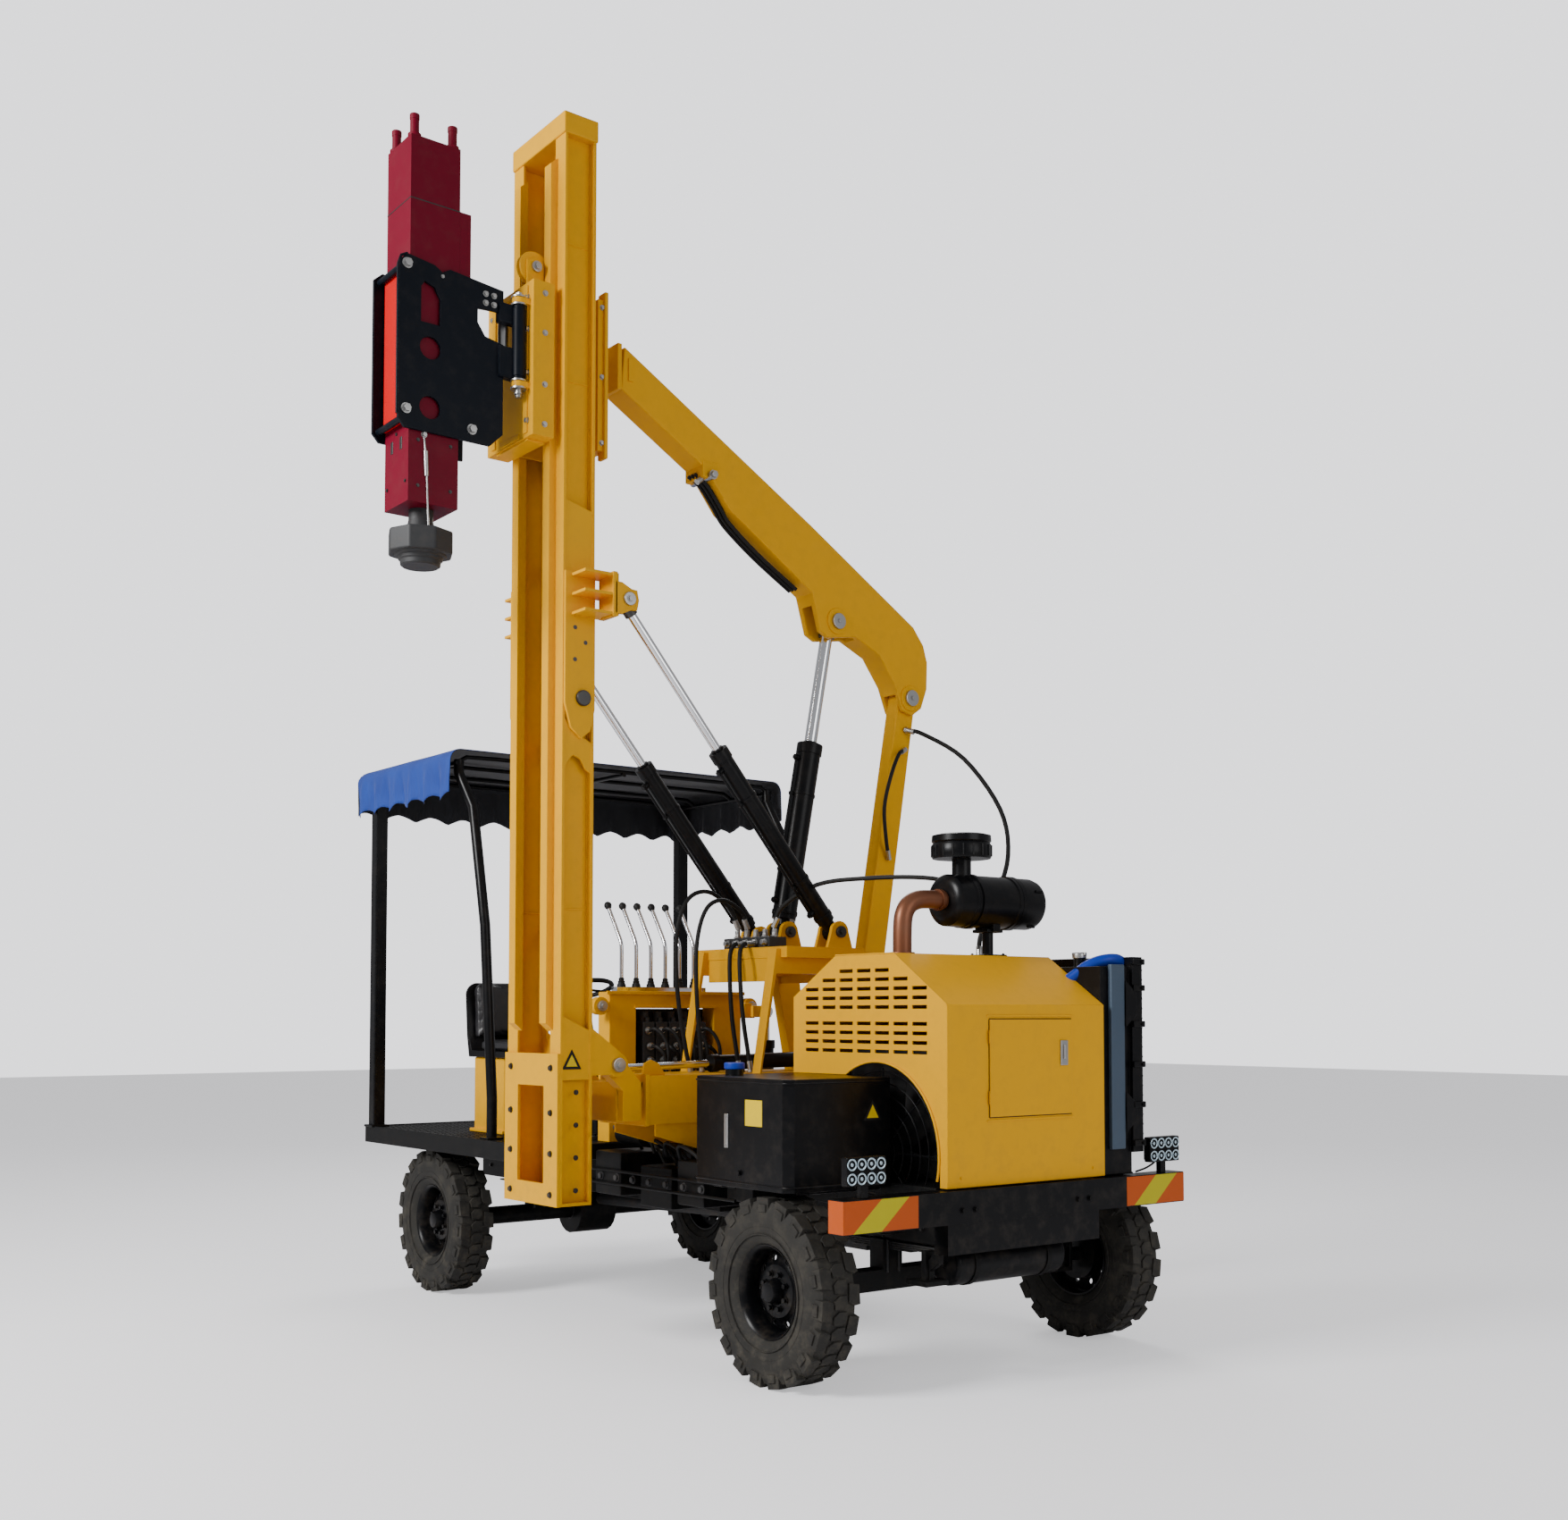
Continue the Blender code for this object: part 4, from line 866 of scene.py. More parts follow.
cap = [round_bar(at(0.30, 0.66, 1.965), at(0.30, 0.66, 1.99), 0.036, 32, edge=0.004),
    block(at(0.255, 0.652, 1.978), at(0.345, 0.668, 1.996), 0.004)]
dress(together(cap), "chassis", steel, "radiator_cap")
dress(pipe([at(0.28, 0.50, 1.80), at(0.33, 0.56, 1.86), at(0.40, 0.63, 1.93), at(0.45, 0.70, 1.955),
    at(0.46, 0.78, 1.95), at(0.46, 0.80, 1.90)], 0.030, 8), "chassis", blue_rubber, "coolant_hose")
clamps = [round_bar(at(0.30, 0.525, 1.825), at(0.315, 0.542, 1.841), 0.034, 24),
    round_bar(at(0.46, 0.799, 1.925), at(0.46, 0.799, 1.905), 0.034, 24)]
dress(together(clamps), "chassis", steel, "hose_clamps")

# %% [markdown]
# ## Air cleaner
# A pressed drum lies across the hood on a post. Air enters through the pre-cleaner on top and
# leaves through a bare steel elbow that has rusted brown with heat.

# %% Air cleaner
drum = [turned([(-0.31, 0.0001), (-0.31, 0.085), (-0.300, 0.118), (-0.285, 0.130), (-0.20, 0.132),
    (-0.195, 0.136), (-0.185, 0.136), (-0.18, 0.132), (0.10, 0.132), (0.105, 0.1375), (0.125, 0.1375),
    (0.13, 0.132), (0.27, 0.132), (0.295, 0.125), (0.305, 0.10), (0.31, 0.07), (0.31, 0.0001)],
    at(0.0, 0.31, 2.25), "Y", 64)]
for y in (0.17, 0.45):
    drum.append(turned([(-0.014, 0.132), (-0.014, 0.1385), (0.014, 0.1385), (0.014, 0.132)],
        at(0.0, y, 2.25), "Y", 56))
for k in range(4):
    a = math.tau * (k + 0.3) / 4
    drum.append(block(at(0.134 * math.cos(a) - 0.006, 0.535, 2.25 + 0.134 * math.sin(a) - 0.006),
        at(0.134 * math.cos(a) + 0.006, 0.585, 2.25 + 0.134 * math.sin(a) + 0.006), 0.003))
drum.append(round_bar(at(0, 0.31, 1.9735), at(0, 0.31, 2.13), 0.028, 24))
drum.append(block(at(-0.07, 0.24, 1.9735), at(0.07, 0.38, 1.985), 0.004))
drum.append(block(at(-0.055, 0.255, 2.095), at(0.055, 0.365, 2.112), 0.004))
for sx in (-1, 1):
    drum.append(block(at(sx * 0.06 - 0.008, 0.285, 2.10), at(sx * 0.06 + 0.008, 0.335, 2.165), 0.004))
for dx, dy in ((-0.055, 0.255), (0.055, 0.255), (-0.055, 0.365), (0.055, 0.365)):
    drum.append(nut(at(dx, dy, 1.985), (0, 0, 1), 0.011, 0.007))
drum.append(turned([(2.36, 0.048), (2.455, 0.048), (2.455, 0.060), (2.462, 0.146), (2.475, 0.150),
    (2.53, 0.150), (2.54, 0.143), (2.548, 0.150), (2.578, 0.148), (2.585, 0.120), (2.585, 0.0001)],
    at(0, 0.13, 0), "Z", 56))
for k in range(18):
    a = math.tau * k / 18
    drum.append(round_bar(at(0.151 * math.cos(a), 0.13 + 0.151 * math.sin(a), 2.472),
        at(0.151 * math.cos(a), 0.13 + 0.151 * math.sin(a), 2.528), 0.004, 8))
drum.append(nut(at(0, 0.13, 2.583), (0, 0, 1), 0.016, 0.012))
cleaner = dress(together(drum), "chassis", black, "air_cleaner_drum")
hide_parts("air_cleaner")
elbow = [pipe([at(0, 0.01, 2.25), at(0, -0.10, 2.25), at(0, -0.17, 2.243), at(0, -0.225, 2.218),
    at(0, -0.258, 2.17), at(0, -0.268, 2.10), at(0, -0.27, 1.972)], 0.046, 10)]
elbow.append(turned([(-0.010, 0.046), (-0.010, 0.054), (0.010, 0.054), (0.010, 0.046)], at(0, -0.03, 2.25),
    "Y", 32))
elbow.append(round_bar(at(0, -0.27, 1.973), at(0, -0.27, 1.985), 0.062, 32, edge=0.003))
dress(together(elbow), "chassis", copper, "intake_elbow")

# %% [markdown]
# ## Work lamps and bumper film
# Each lamp is a finned housing with two rows of four lens cups. The film is a thin layer on the
# bumper ends that wraps round the corner.

# %% Lamps
for side, s in (("right", -1), ("left", 1)):
    node = "lamp_" + side
    lo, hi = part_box(node)
    face = hi.x
    y0, y1, z0, z1 = lo.y, hi.y, 0.945, hi.z
    shell = [block((face - 0.045, y0, z0), (face - 0.002, y1, z1), 0.006, 3)]
    for k in range(7):
        shell.append(block((face - 0.060, y0 + 0.015 + 0.03 * k, z0 + 0.01),
            (face - 0.040, y0 + 0.020 + 0.03 * k, z1 - 0.01), 0.001, 1))
    middle_y = (y0 + y1) / 2
    shell.append(block((face - 0.045, middle_y - 0.02, lo.z), (face - 0.015, middle_y + 0.02, z0 + 0.01),
        0.003))
    shell.append(nut((face - 0.030, middle_y, lo.z + 0.012), (0, 0, 1), 0.012))
    housing = dress(together(shell), "chassis", black, node + "_housing")
    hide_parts(node)
    cups = []
    for row in range(2):
        for col in range(4):
            c = Vector((face - 0.004, y0 + (col + 0.5) * (y1 - y0) / 4, z0 + (row + 0.5) * (z1 - z0) / 2))
            cups.append(turned([(-0.003, 0.026), (0.003, 0.026), (0.004, 0.024), (-0.001, 0.012),
                (0.002, 0.008), (0.003, 0.0001)], c, "X", 24))
    cups.append(block((face - 0.006, y0 + 0.006, z0 + 0.006), (face - 0.002, y1 - 0.006, z1 - 0.006), 0.001,
        1))
    dress(together(cups), "chassis", lens, node + "_lenses")
    wire = pipe([(face - 0.05, middle_y, z0 + 0.02), (face - 0.075, middle_y, z0 - 0.01),
        (face - 0.085, middle_y - s * 0.05, z0 - 0.035), (face - 0.09, middle_y - s * 0.12, z0 - 0.05)],
        0.005, 4)
    dress(wire, "chassis", rubber, node + "_wire")

# %% Bumper film and fixings
bump_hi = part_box("front_bumper")[1]
for side, s in (("right", -1), ("left", 1)):
    y_out = CENTRE_Y + s * 1.12
    y_in = CENTRE_Y + s * 0.69
    face = block((bump_hi.x - 0.001, min(y_in, y_out), 0.743),
        (bump_hi.x + 0.0018, max(y_in, y_out), 0.884), 0.0006, 1)
    end = block((bump_hi.x - 0.10, min(y_out, y_out + s * 0.0018), 0.743),
        (bump_hi.x + 0.001, max(y_out, y_out + s * 0.0018), 0.884), 0.0004, 1)
    dress(together([face, end]), "chassis", film, "bumper_film_" + side)
bolts = [nut(at(0.572, y, 0.80), (1, 0, 0), 0.020, 0.012) for y in (-0.42, -0.34, 0.34, 0.42)]
hook = plate(shifted([(0.36, 0.50), (0.46, 0.60), (0.50, 0.60), (0.50, 0.56), (0.44, 0.52), (0.44, 0.46),
    (0.38, 0.46)], "y"), "y", at(0, -0.50, 0).y, at(0, -0.47, 0).y, 0.004)
bolts.append(hook)
bolts.append(block(at(0.34, -0.56, 0.455), at(0.48, -0.42, 0.48), 0.006))
bolts.append(block(at(0.40, -0.52, 0.47), at(0.43, -0.46, 0.61), 0.005))
dress(together(bolts), "chassis", chassis_black, "bumper_fixings")
straps = [turned([(-0.015, 0.101), (-0.015, 0.106), (0.015, 0.106), (0.015, 0.101)], at(0.32, y, 0.5185),
    "Y", 48) for y in (-0.18, 0.30)]
straps.append(nut(at(0.32, -0.30, 0.5185), (0, -1, 0), 0.02))
dress(together(straps), "chassis", chassis_black, "air_tank_straps")

# %% [markdown]
# ## Mast
# The mast is two channels with their backs inwards, joined by plates. Cover plates close the
# channels where the bracket and the pin need backing, and bolts hold the foot frame.

# %% Mast plates and bolts
MAST_Y0, MAST_Y1 = -1.55, -1.37
mast_bits = []
for s in (-1, 1):
    skin = MAST_X + s * 0.246
    outer = MAST_X + s * 0.262
    x0, x1 = sorted((at(skin, 0, 0).x, at(outer, 0, 0).x))
    for outline in ([(-1.546, 3.885), (-1.374, 3.885), (-1.374, 4.20), (-1.546, 4.245)],
            [(-1.546, 1.36), (-1.374, 1.36), (-1.374, 1.60), (-1.546, 1.68)],
            [(-1.546, 2.86), (-1.520, 2.93), (-1.485, 2.965), (-1.445, 2.95), (-1.415, 2.90),
            (-1.374, 2.875), (-1.374, 3.03), (-1.40, 3.045), (-1.50, 3.09), (-1.546, 3.17)]):
        mast_bits.append(plate(shifted(outline, "x"), "x", x0, x1, 0.003))
    for y in (MAST_Y0 + 0.012, MAST_Y1 - 0.012):
        mast_bits.append(block(at(MAST_X + s * 0.225 - 0.006, y - 0.007, 1.70),
            at(MAST_X + s * 0.225 + 0.006, y + 0.007, 6.05), 0.003))
    for z in (2.20, 4.85, 5.55):
        mast_bits.append(block(at(MAST_X + s * 0.212 - 0.002, MAST_Y0 + 0.012, z),
            at(MAST_X + s * 0.212 + 0.014, MAST_Y1 - 0.012, z + 0.008), 0.001, 1))
for z in (1.46, 2.05, 3.0, 3.92, 4.45, 5.95):
    mast_bits.append(block(at(MAST_X - 0.2078, MAST_Y1 - 0.012, z),
        at(MAST_X + 0.2078, MAST_Y1 - 0.002, z + 0.10), 0.003))
mast_bits.append(block(at(MAST_X - 0.2078, MAST_Y1 - 0.020, 0.80),
    at(MAST_X + 0.2078, MAST_Y1 - 0.004, 1.44), 0.003))
dress(together(mast_bits), "mast", yellow, "mast_plates")
fixings = []
for s in (-1, 1):
    for z in (0.80, 1.00, 1.20, 1.42):
        fixings.append(nut(at(MAST_X + s * 0.20, -1.566, z), (0, -1, 0), 0.022, 0.012))
    for y, z in ((-1.49, 3.60), (-1.43, 3.53), (-1.49, 3.44)):
        fixings.append(round_bar(at(MAST_X + s * 0.279, y, z), at(MAST_X + s * 0.2825, y, z), 0.011, 16))
    fixings.append(round_bar(at(MAST_X + s * 0.275, -1.445, 3.25), at(MAST_X + s * 0.302, -1.445, 3.25),
        0.040, 32, edge=0.008))
    for z in (0.82, 0.98, 1.14, 1.30):
        fixings.append(nut(at(MAST_X + s * 0.263, -1.46, z), (s, 0, 0), 0.018, 0.010))
dress(together(fixings), "mast", dark_steel, "mast_fixings")
eye_pins = []
for s in (-1, 1):
    centre = MAST_X + s * 0.355
    eye_pins.append(round_bar(at(centre + 0.040, -1.26, 3.75), at(centre + 0.075, -1.26, 3.75), 0.034, 28,
        edge=0.004))
    eye_pins.append(round_bar(at(centre - 0.040, -1.26, 3.75), at(centre - 0.072, -1.26, 3.75), 0.030, 28,
        edge=0.004))
    eye_pins.append(nut(at(centre + 0.075, -1.26, 3.75), (1, 0, 0), 0.026, 0.012))
    eye_pins.append(round_bar(at(MAST_X + s * 0.262, -1.22, 1.43), at(MAST_X + s * 0.288, -1.22, 1.43),
        0.036, 28, edge=0.004))
    eye_pins.append(nut(at(MAST_X + s * 0.288, -1.22, 1.43), (s, 0, 0), 0.03, 0.012))
dress(together(eye_pins), "mast", steel, "mast_pins")
gussets = []
for s in (-1, 1):
    centre = MAST_X + s * 0.355
    for k in (-1, 1):
        eye_plate = [(-1.34, 3.67), (-1.30, 3.67)] + [(-1.26 + 0.056 * math.cos(a),
            3.75 + 0.056 * math.sin(a)) for a in [math.radians(-75 + 15 * i) for i in range(11)]] + [(-1.30,
            3.83), (-1.34, 3.83)]
        x0, x1 = sorted((at(centre + k * 0.0435, 0, 0).x, at(centre + k * 0.060, 0, 0).x))
        gussets.append(plate(shifted(eye_plate, "x"), "x", x0, x1, 0.003))
    gussets.append(block(at(centre - 0.058, -1.352, 3.652), at(centre + 0.060, -1.325, 3.878), 0.004))
dress(together(gussets), "mast", yellow, "tilt_eye_plates")
warning = plate(shifted([(-1.517, 1.427), (-1.453, 1.427), (-1.485, 1.485)], "x"), "x",
    at(MAST_X + 0.263, 0, 0).x, at(MAST_X + 0.2650, 0, 0).x, 0)
warning_border = plate(shifted([(-1.540, 1.413), (-1.430, 1.413), (-1.485, 1.512)], "x"), "x",
    at(MAST_X + 0.263, 0, 0).x, at(MAST_X + 0.2642, 0, 0).x, 0)
dress(warning_border, "mast", rubber, "mast_label_border")
dress(warning, "mast", label_yellow, "mast_blank_label")
foot = [block(at(MAST_X - 0.19, -1.36, 0.95), at(MAST_X + 0.19, -1.325, 1.02), 0.006)]
for s in (-1, 1):
    foot.append(block(at(MAST_X + s * 0.15 - 0.03, -1.37, 0.90), at(MAST_X + s * 0.15 + 0.03, -1.33, 1.10),
        0.006))
dress(together(foot), "mast", black, "mast_foot_block")
print("mast plates and", len(fixings), "fixings")

# %% [markdown]
# A leaf chain lifts the hammer. We lay the straight run that shows in the slot between the
# channels, one link pair and one pin at a time.

# %% Lifting chain on the mast
links = []
for k in range(46):
    z = 1.56 + 0.095 * k
    for side in (-1, 1):
        links.append(block(at(MAST_X + 0.10 + side * 0.008 - 0.002, -1.425, z),
            at(MAST_X + 0.10 + side * 0.008 + 0.002, -1.395, z + 0.080), 0.0))
    links.append(round_bar(at(MAST_X + 0.088, -1.41, z + 0.085), at(MAST_X + 0.112, -1.41, z + 0.085),
        0.007, 8))
dress(together(links), "mast", dark_steel, "lifting_chain")

# %% [markdown]
# ## Carriage and hinge
# Wear pads and bolts line the carriage. The hinge tube is black, held between yellow ears by a
# pin with nuts, and the sheave turns on a thick axle.

# %% Carriage details
car = []
for s in (-1, 1):
    for z in (4.62, 4.86, 5.08, 5.24):
        car.append(nut(at(MAST_X + s * 0.18, -1.71, z), (0, -1, 0), 0.024, 0.014))
    for z in (4.60, 4.80, 5.06, 5.26):
        car.append(nut(at(MAST_X + s * 0.235, -1.645, z), (s, 0, 0), 0.020, 0.012))
    for z in (4.58, 4.92, 5.28):
        car.append(nut(at(MAST_X + s * 0.22, -1.305, z), (s, 0, 0), 0.020, 0.012))
for z in (4.79, 5.21):
    for k in (-1, 1):
        car.append(turned([(-0.004, 0.018), (-0.004, 0.040), (0.004, 0.040), (0.004, 0.018),
            (-0.004, 0.018)], at(MAST_X + 0.17, -1.755, z + k * 0.019), "Z", 28))
dress(together(car), "carriage", steel, "carriage_fixings")
rear = []
for s in (-1, 1):
    rear.append(block(at(MAST_X + s * 0.205 - 0.035, -1.30, 4.50),
        at(MAST_X + s * 0.205 + 0.035, -1.278, 5.36), 0.006))
    rear.append(block(at(MAST_X + s * 0.165 - 0.02, -1.718, 4.56),
        at(MAST_X + s * 0.165 + 0.02, -1.706, 5.30), 0.003))
for z in (4.55, 4.92, 5.28):
    rear.append(block(at(MAST_X - 0.10, -1.715, z), at(MAST_X + 0.10, -1.700, z + 0.025), 0.004))
rear.append(block(at(MAST_X - 0.16, -1.70, 4.528), at(MAST_X + 0.16, -1.60, 4.545), 0.004))
dress(together(rear), "carriage", yellow, "carriage_ribs")

sheave_at = at(MAST_X + 0.10, -1.64, 5.43)
wheel_parts = [turned([(-0.020, 0.030), (-0.020, 0.082), (-0.015, 0.0848), (-0.009, 0.084), (-0.004, 0.070),
    (0.004, 0.070), (0.009, 0.084), (0.015, 0.0848), (0.020, 0.082), (0.020, 0.030), (-0.020, 0.030)],
    sheave_at, "X", 56)]
for k in range(5):
    a = math.tau * k / 5
    wheel_parts.append(round_bar(sheave_at + Vector((-0.0203, 0.055 * math.cos(a), 0.055 * math.sin(a))),
        sheave_at + Vector((0.0203, 0.055 * math.cos(a), 0.055 * math.sin(a))), 0.006, 12))
sheave = dress(together(wheel_parts), "sheave", yellow, "sheave_grooved")
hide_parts("sheave")
axle = [round_bar(sheave_at + Vector((-0.045, 0, 0)), sheave_at + Vector((0.050, 0, 0)), 0.028, 28,
    edge=0.003), nut(sheave_at + Vector((0.048, 0, 0)), (1, 0, 0), 0.032, 0.016)]
dress(together(axle), "carriage", steel, "sheave_axle")
cheeks = []
for k in (-1, 1):
    cheek = [(-1.69, 5.31), (-1.60, 5.31)] + [(-1.64 + 0.046 * math.cos(a), 5.43 + 0.046 * math.sin(a))
        for a in [math.radians(-10 + 20 * i) for i in range(11)]]
    x0, x1 = sorted((at(MAST_X + 0.10 + k * 0.0215, 0, 0).x, at(MAST_X + 0.10 + k * 0.035, 0, 0).x))
    cheeks.append(plate(shifted(cheek, "x"), "x", x0, x1, 0.003))
dress(together(cheeks), "carriage", yellow, "sheave_cheeks")

# %% [markdown]
# ## Hammer cradle
# The cradle is two thick plates cut to shape. Bolts with washers clamp them at the corners, and a
# swing cylinder with its ports sits in the gap towards the mast.

# %% Cradle fittings
near_face = MAST_X + 0.151
cradle_bolts = []
for y, z in ((-2.345, 5.25), (-2.345, 4.55), (-2.00, 4.52)):
    cradle_bolts.append(nut(at(near_face, y, z), (1, 0, 0), 0.034, 0.026))
    cradle_bolts.append(nut(at(MAST_X - 0.151, min(y, -2.0), z), (-1, 0, 0), 0.030, 0.020))
cradle_bolts.append(nut(at(near_face, -2.16, 5.235), (1, 0, 0), 0.012, 0.008))
cradle_bolts.append(round_bar(at(MAST_X + 0.17, -1.755, 4.745), at(MAST_X + 0.17, -1.755, 4.772), 0.017, 20))
cradle_bolts.append(nut(at(MAST_X + 0.17, -1.755, 4.748), (0, 0, -1), 0.030, 0.022))
cradle_bolts.append(nut(at(MAST_X + 0.17, -1.755, 5.232), (0, 0, 1), 0.030, 0.022))
for y in (-1.93, -1.885):
    for z in (5.165, 5.21):
        cradle_bolts.append(nut(at(near_face, y, z), (1, 0, 0), 0.020, 0.014))
dress(together(cradle_bolts), "cradle", steel, "cradle_bolts")
arms = []
arms.append(block(at(MAST_X + 0.120, -1.86, 5.09), at(MAST_X + 0.165, -1.745, 5.19), 0.008))
arms.append(block(at(MAST_X + 0.120, -1.86, 4.815), at(MAST_X + 0.165, -1.745, 4.90), 0.008))
arms.append(round_bar(at(MAST_X + 0.17, -1.755, 4.83), at(MAST_X + 0.17, -1.755, 5.17), 0.034, 28,
    edge=0.004))
arms.append(block(at(MAST_X + 0.02, -1.975, 4.60), at(MAST_X + 0.13, -1.84, 4.74), 0.01))
rim_edge = pipe([at(near_face - 0.008, y, z) for y,
    z in ((-2.387, 4.52), (-2.387, 5.24), (-2.372, 5.285), (-2.34, 5.302))], 0.007, 4, smooth=False)
arms.append(rim_edge)
dress(together(arms), "cradle", navy, "cradle_arms")
swing = [round_bar(at(MAST_X + 0.09, -1.80, 4.84), at(MAST_X + 0.09, -1.80, 5.14), 0.026, 28, edge=0.004),
    round_bar(at(MAST_X + 0.09, -1.80, 5.14), at(MAST_X + 0.09, -1.80, 5.17), 0.014, 20)]
dress(together(swing), "cradle", steel, "swing_cylinder")
face = block(at(MAST_X - 0.118, -2.337, 4.505), at(MAST_X + 0.118, -2.322, 5.245), 0.004)
dress(face, "cradle", red, "hammer_face_plate")
seams = [block(at(MAST_X - 0.1312, -2.3212, 5.586), at(MAST_X + 0.1312, -2.058, 5.592), 0.001, 1)]
for dx in (-0.05, 0.05):
    seams.append(block(at(MAST_X + dx - 0.012, -2.3225, 4.385), at(MAST_X + dx + 0.012, -2.319, 4.445),
        0.010, 4))
for dx, z in ((-0.10, 4.22), (0.10, 4.22), (0.0, 4.47)):
    seams.append(nut(at(MAST_X + dx, -2.320, z), (0, -1, 0), 0.012, 0.006))
for y, z in ((-2.27, 4.42), (-2.10, 4.42), (-2.27, 4.20), (-2.10, 4.20)):
    seams.append(nut(at(MAST_X + 0.130, y, z), (1, 0, 0), 0.012, 0.006))
    seams.append(nut(at(MAST_X - 0.130, y, z), (-1, 0, 0), 0.012, 0.006))
dress(together(seams), "cradle", dark_steel, "hammer_slots_and_bolts")
lifting_eyes = []
for a, c in ((-1, -1), (1, -1), (1, 1), (-1, 1)):
    lifting_eyes.append(round_bar(at(MAST_X + a * 0.10, -2.19 + c * 0.10, 5.985),
        at(MAST_X + a * 0.10, -2.19 + c * 0.10, 6.012), 0.024, 24, edge=0.003))
    lifting_eyes.append(round_bar(at(MAST_X + a * 0.10, -2.19 + c * 0.10, 5.899),
        at(MAST_X + a * 0.10, -2.19 + c * 0.10, 5.915), 0.032, 24, edge=0.002))
dress(together(lifting_eyes), "cradle", crimson, "hammer_tie_rod_caps")

# %% [markdown]
# The driving cap hangs on two steel wires with sleeves and bolts. The anvil is a turned shank with
# a forged eight-sided head.

# %% Anvil
anvil_parts = [turned([(4.30, 0.0001), (4.30, 0.057), (4.05, 0.0595), (4.019, 0.0595), (4.018, 0.075),
    (4.008, 0.075)], at(MAST_X, -2.19, 0), "Z", 40)]
anvil_parts.append(round_bar(at(MAST_X, -2.19, 3.902), at(MAST_X, -2.19, 4.015), 0.162, 8, edge=0.010))
anvil_parts.append(turned([(3.915, 0.125), (3.905, 0.128), (3.895, 0.122), (3.890, 0.108), (3.878, 0.106),
    (3.872, 0.098), (3.852, 0.096), (3.845, 0.086), (3.845, 0.0001)], at(MAST_X, -2.19, 0), "Z", 40))
for k in range(4):
    a = math.tau * (k + 0.5) / 4
    anvil_parts.append(nut(at(MAST_X + 0.110 * math.cos(a), -2.19 + 0.110 * math.sin(a), 4.004), (0, 0, 1),
        0.022, 0.015))
anvil = dress(together(anvil_parts), "anvil", iron, "anvil_forging")
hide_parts("anvil")
wires = []
for dx, dy in ((0.132, -2.24), (-0.132, -2.16)):
    top, foot_z = 4.44, 4.02
    wires.append(pipe([at(MAST_X + dx, dy, top), at(MAST_X + dx * 1.06, dy + 0.01, 4.30),
        at(MAST_X + dx * 1.0, dy + 0.02, 4.15), at(MAST_X + dx * 0.95, dy + 0.03, foot_z)], 0.005, 3))
    wires.append(round_bar(at(MAST_X + dx * 1.07, dy + 0.005, 4.37),
        at(MAST_X + dx * 1.04, dy + 0.012, 4.25), 0.011, 12, edge=0.002))
    wires.append(nut(at(MAST_X + dx * 0.985, dy, 4.45), (1 if dx > 0 else -1, 0, 0), 0.020, 0.014))
dress(together(wires), "cradle", steel, "retaining_wires")

# %% [markdown]
# ## Boom and cylinders
# The boom is a welded box. Its pins end in round bosses, pads are welded round each hole, and a
# clamp carries the hoses along its underside.

# %% Boom fittings
boom_bits = []
for s in (-1, 1):
    x_in, x_out = MAST_X + s * 0.079, MAST_X + s * 0.088
    for y, z, r in ((0.92, 3.55, 0.075), (0.36, 3.93, 0.075)):
        boom_bits.append(round_bar(at(x_in, y, z), at(x_out, y, z), r, 32, edge=0.003))
    boom_bits.append(block(at(x_in, -1.06, 5.00), at(x_out, -1.03, 5.12), 0.002))
boom_bits.append(block(at(MAST_X - 0.083, -1.125, 4.945), at(MAST_X + 0.083, -1.098, 5.19), 0.004))
boom_bits.append(block(at(MAST_X - 0.085, -0.585, 4.585), at(MAST_X + 0.085, -0.475, 4.68), 0.008))
dress(together(boom_bits), "boom", yellow, "boom_pads")
boom_pins = []
for s in (-1, 1):
    for y, z, r in ((0.92, 3.55, 0.048), (0.36, 3.93, 0.046)):
        boom_pins.append(round_bar(at(MAST_X + s * 0.086, y, z), at(MAST_X + s * 0.106, y, z), r, 32,
            edge=0.005))
        boom_pins.append(block(at(MAST_X + s * 0.097 - 0.006, y - 0.012, z - 0.045),
            at(MAST_X + s * 0.097 + 0.006, y + 0.012, z - 0.02), 0.002))
        boom_pins.append(nut(at(MAST_X + s * 0.104, y, z), (s, 0, 0), 0.022, 0.012))
boom_pins.append(round_bar(at(MAST_X - 0.09, -0.53, 4.60), at(MAST_X + 0.11, -0.53, 4.60), 0.022, 20,
    edge=0.003))
boom_pins.append(nut(at(MAST_X + 0.105, -0.53, 4.60), (1, 0, 0), 0.034, 0.024))
boom_pins.append(round_bar(at(MAST_X + 0.05, -0.57, 4.585), at(MAST_X + 0.05, -0.60, 4.56), 0.018, 16,
    edge=0.002))
dress(together(boom_pins), "boom", steel, "boom_pins")
column_bits = [block(at(MAST_X - 0.13, 0.36, 0.8958), at(MAST_X + 0.13, 0.60, 0.925), 0.006)]
for dx in (-0.10, 0.10):
    for y in (0.40, 0.56):
        column_bits.append(nut(at(MAST_X + dx, y, 0.925), (0, 0, 1), 0.026, 0.016))
for s in (-1, 1):
    column_bits.append(plate(shifted([(0.405, 0.92), (0.56, 0.92), (0.535, 1.25), (0.45, 1.25)], "x"), "x",
        *sorted((at(MAST_X + s * 0.050, 0, 0).x, at(MAST_X + s * 0.062, 0, 0).x)), 0.003))
dress(together(column_bits), "chassis", yellow, "column_foot")


# %% [markdown]
# Each cylinder has a gland with flats at its mouth, a weld ring at the base, port bosses and a
# thin steel pipe that carries oil to the rod end.

# %% Cylinder details
def along(base, eye, x, t, side=0.0, up=0.0):
    """A point t metres from the base pin towards the eye, moved sideways and square to it."""
    b, e = at(x, *base), at(x, *eye)
    u = (e - b).normalized()
    return b + u * t + Vector((side, 0, 0)) + u.cross(Vector((1, 0, 0))) * up


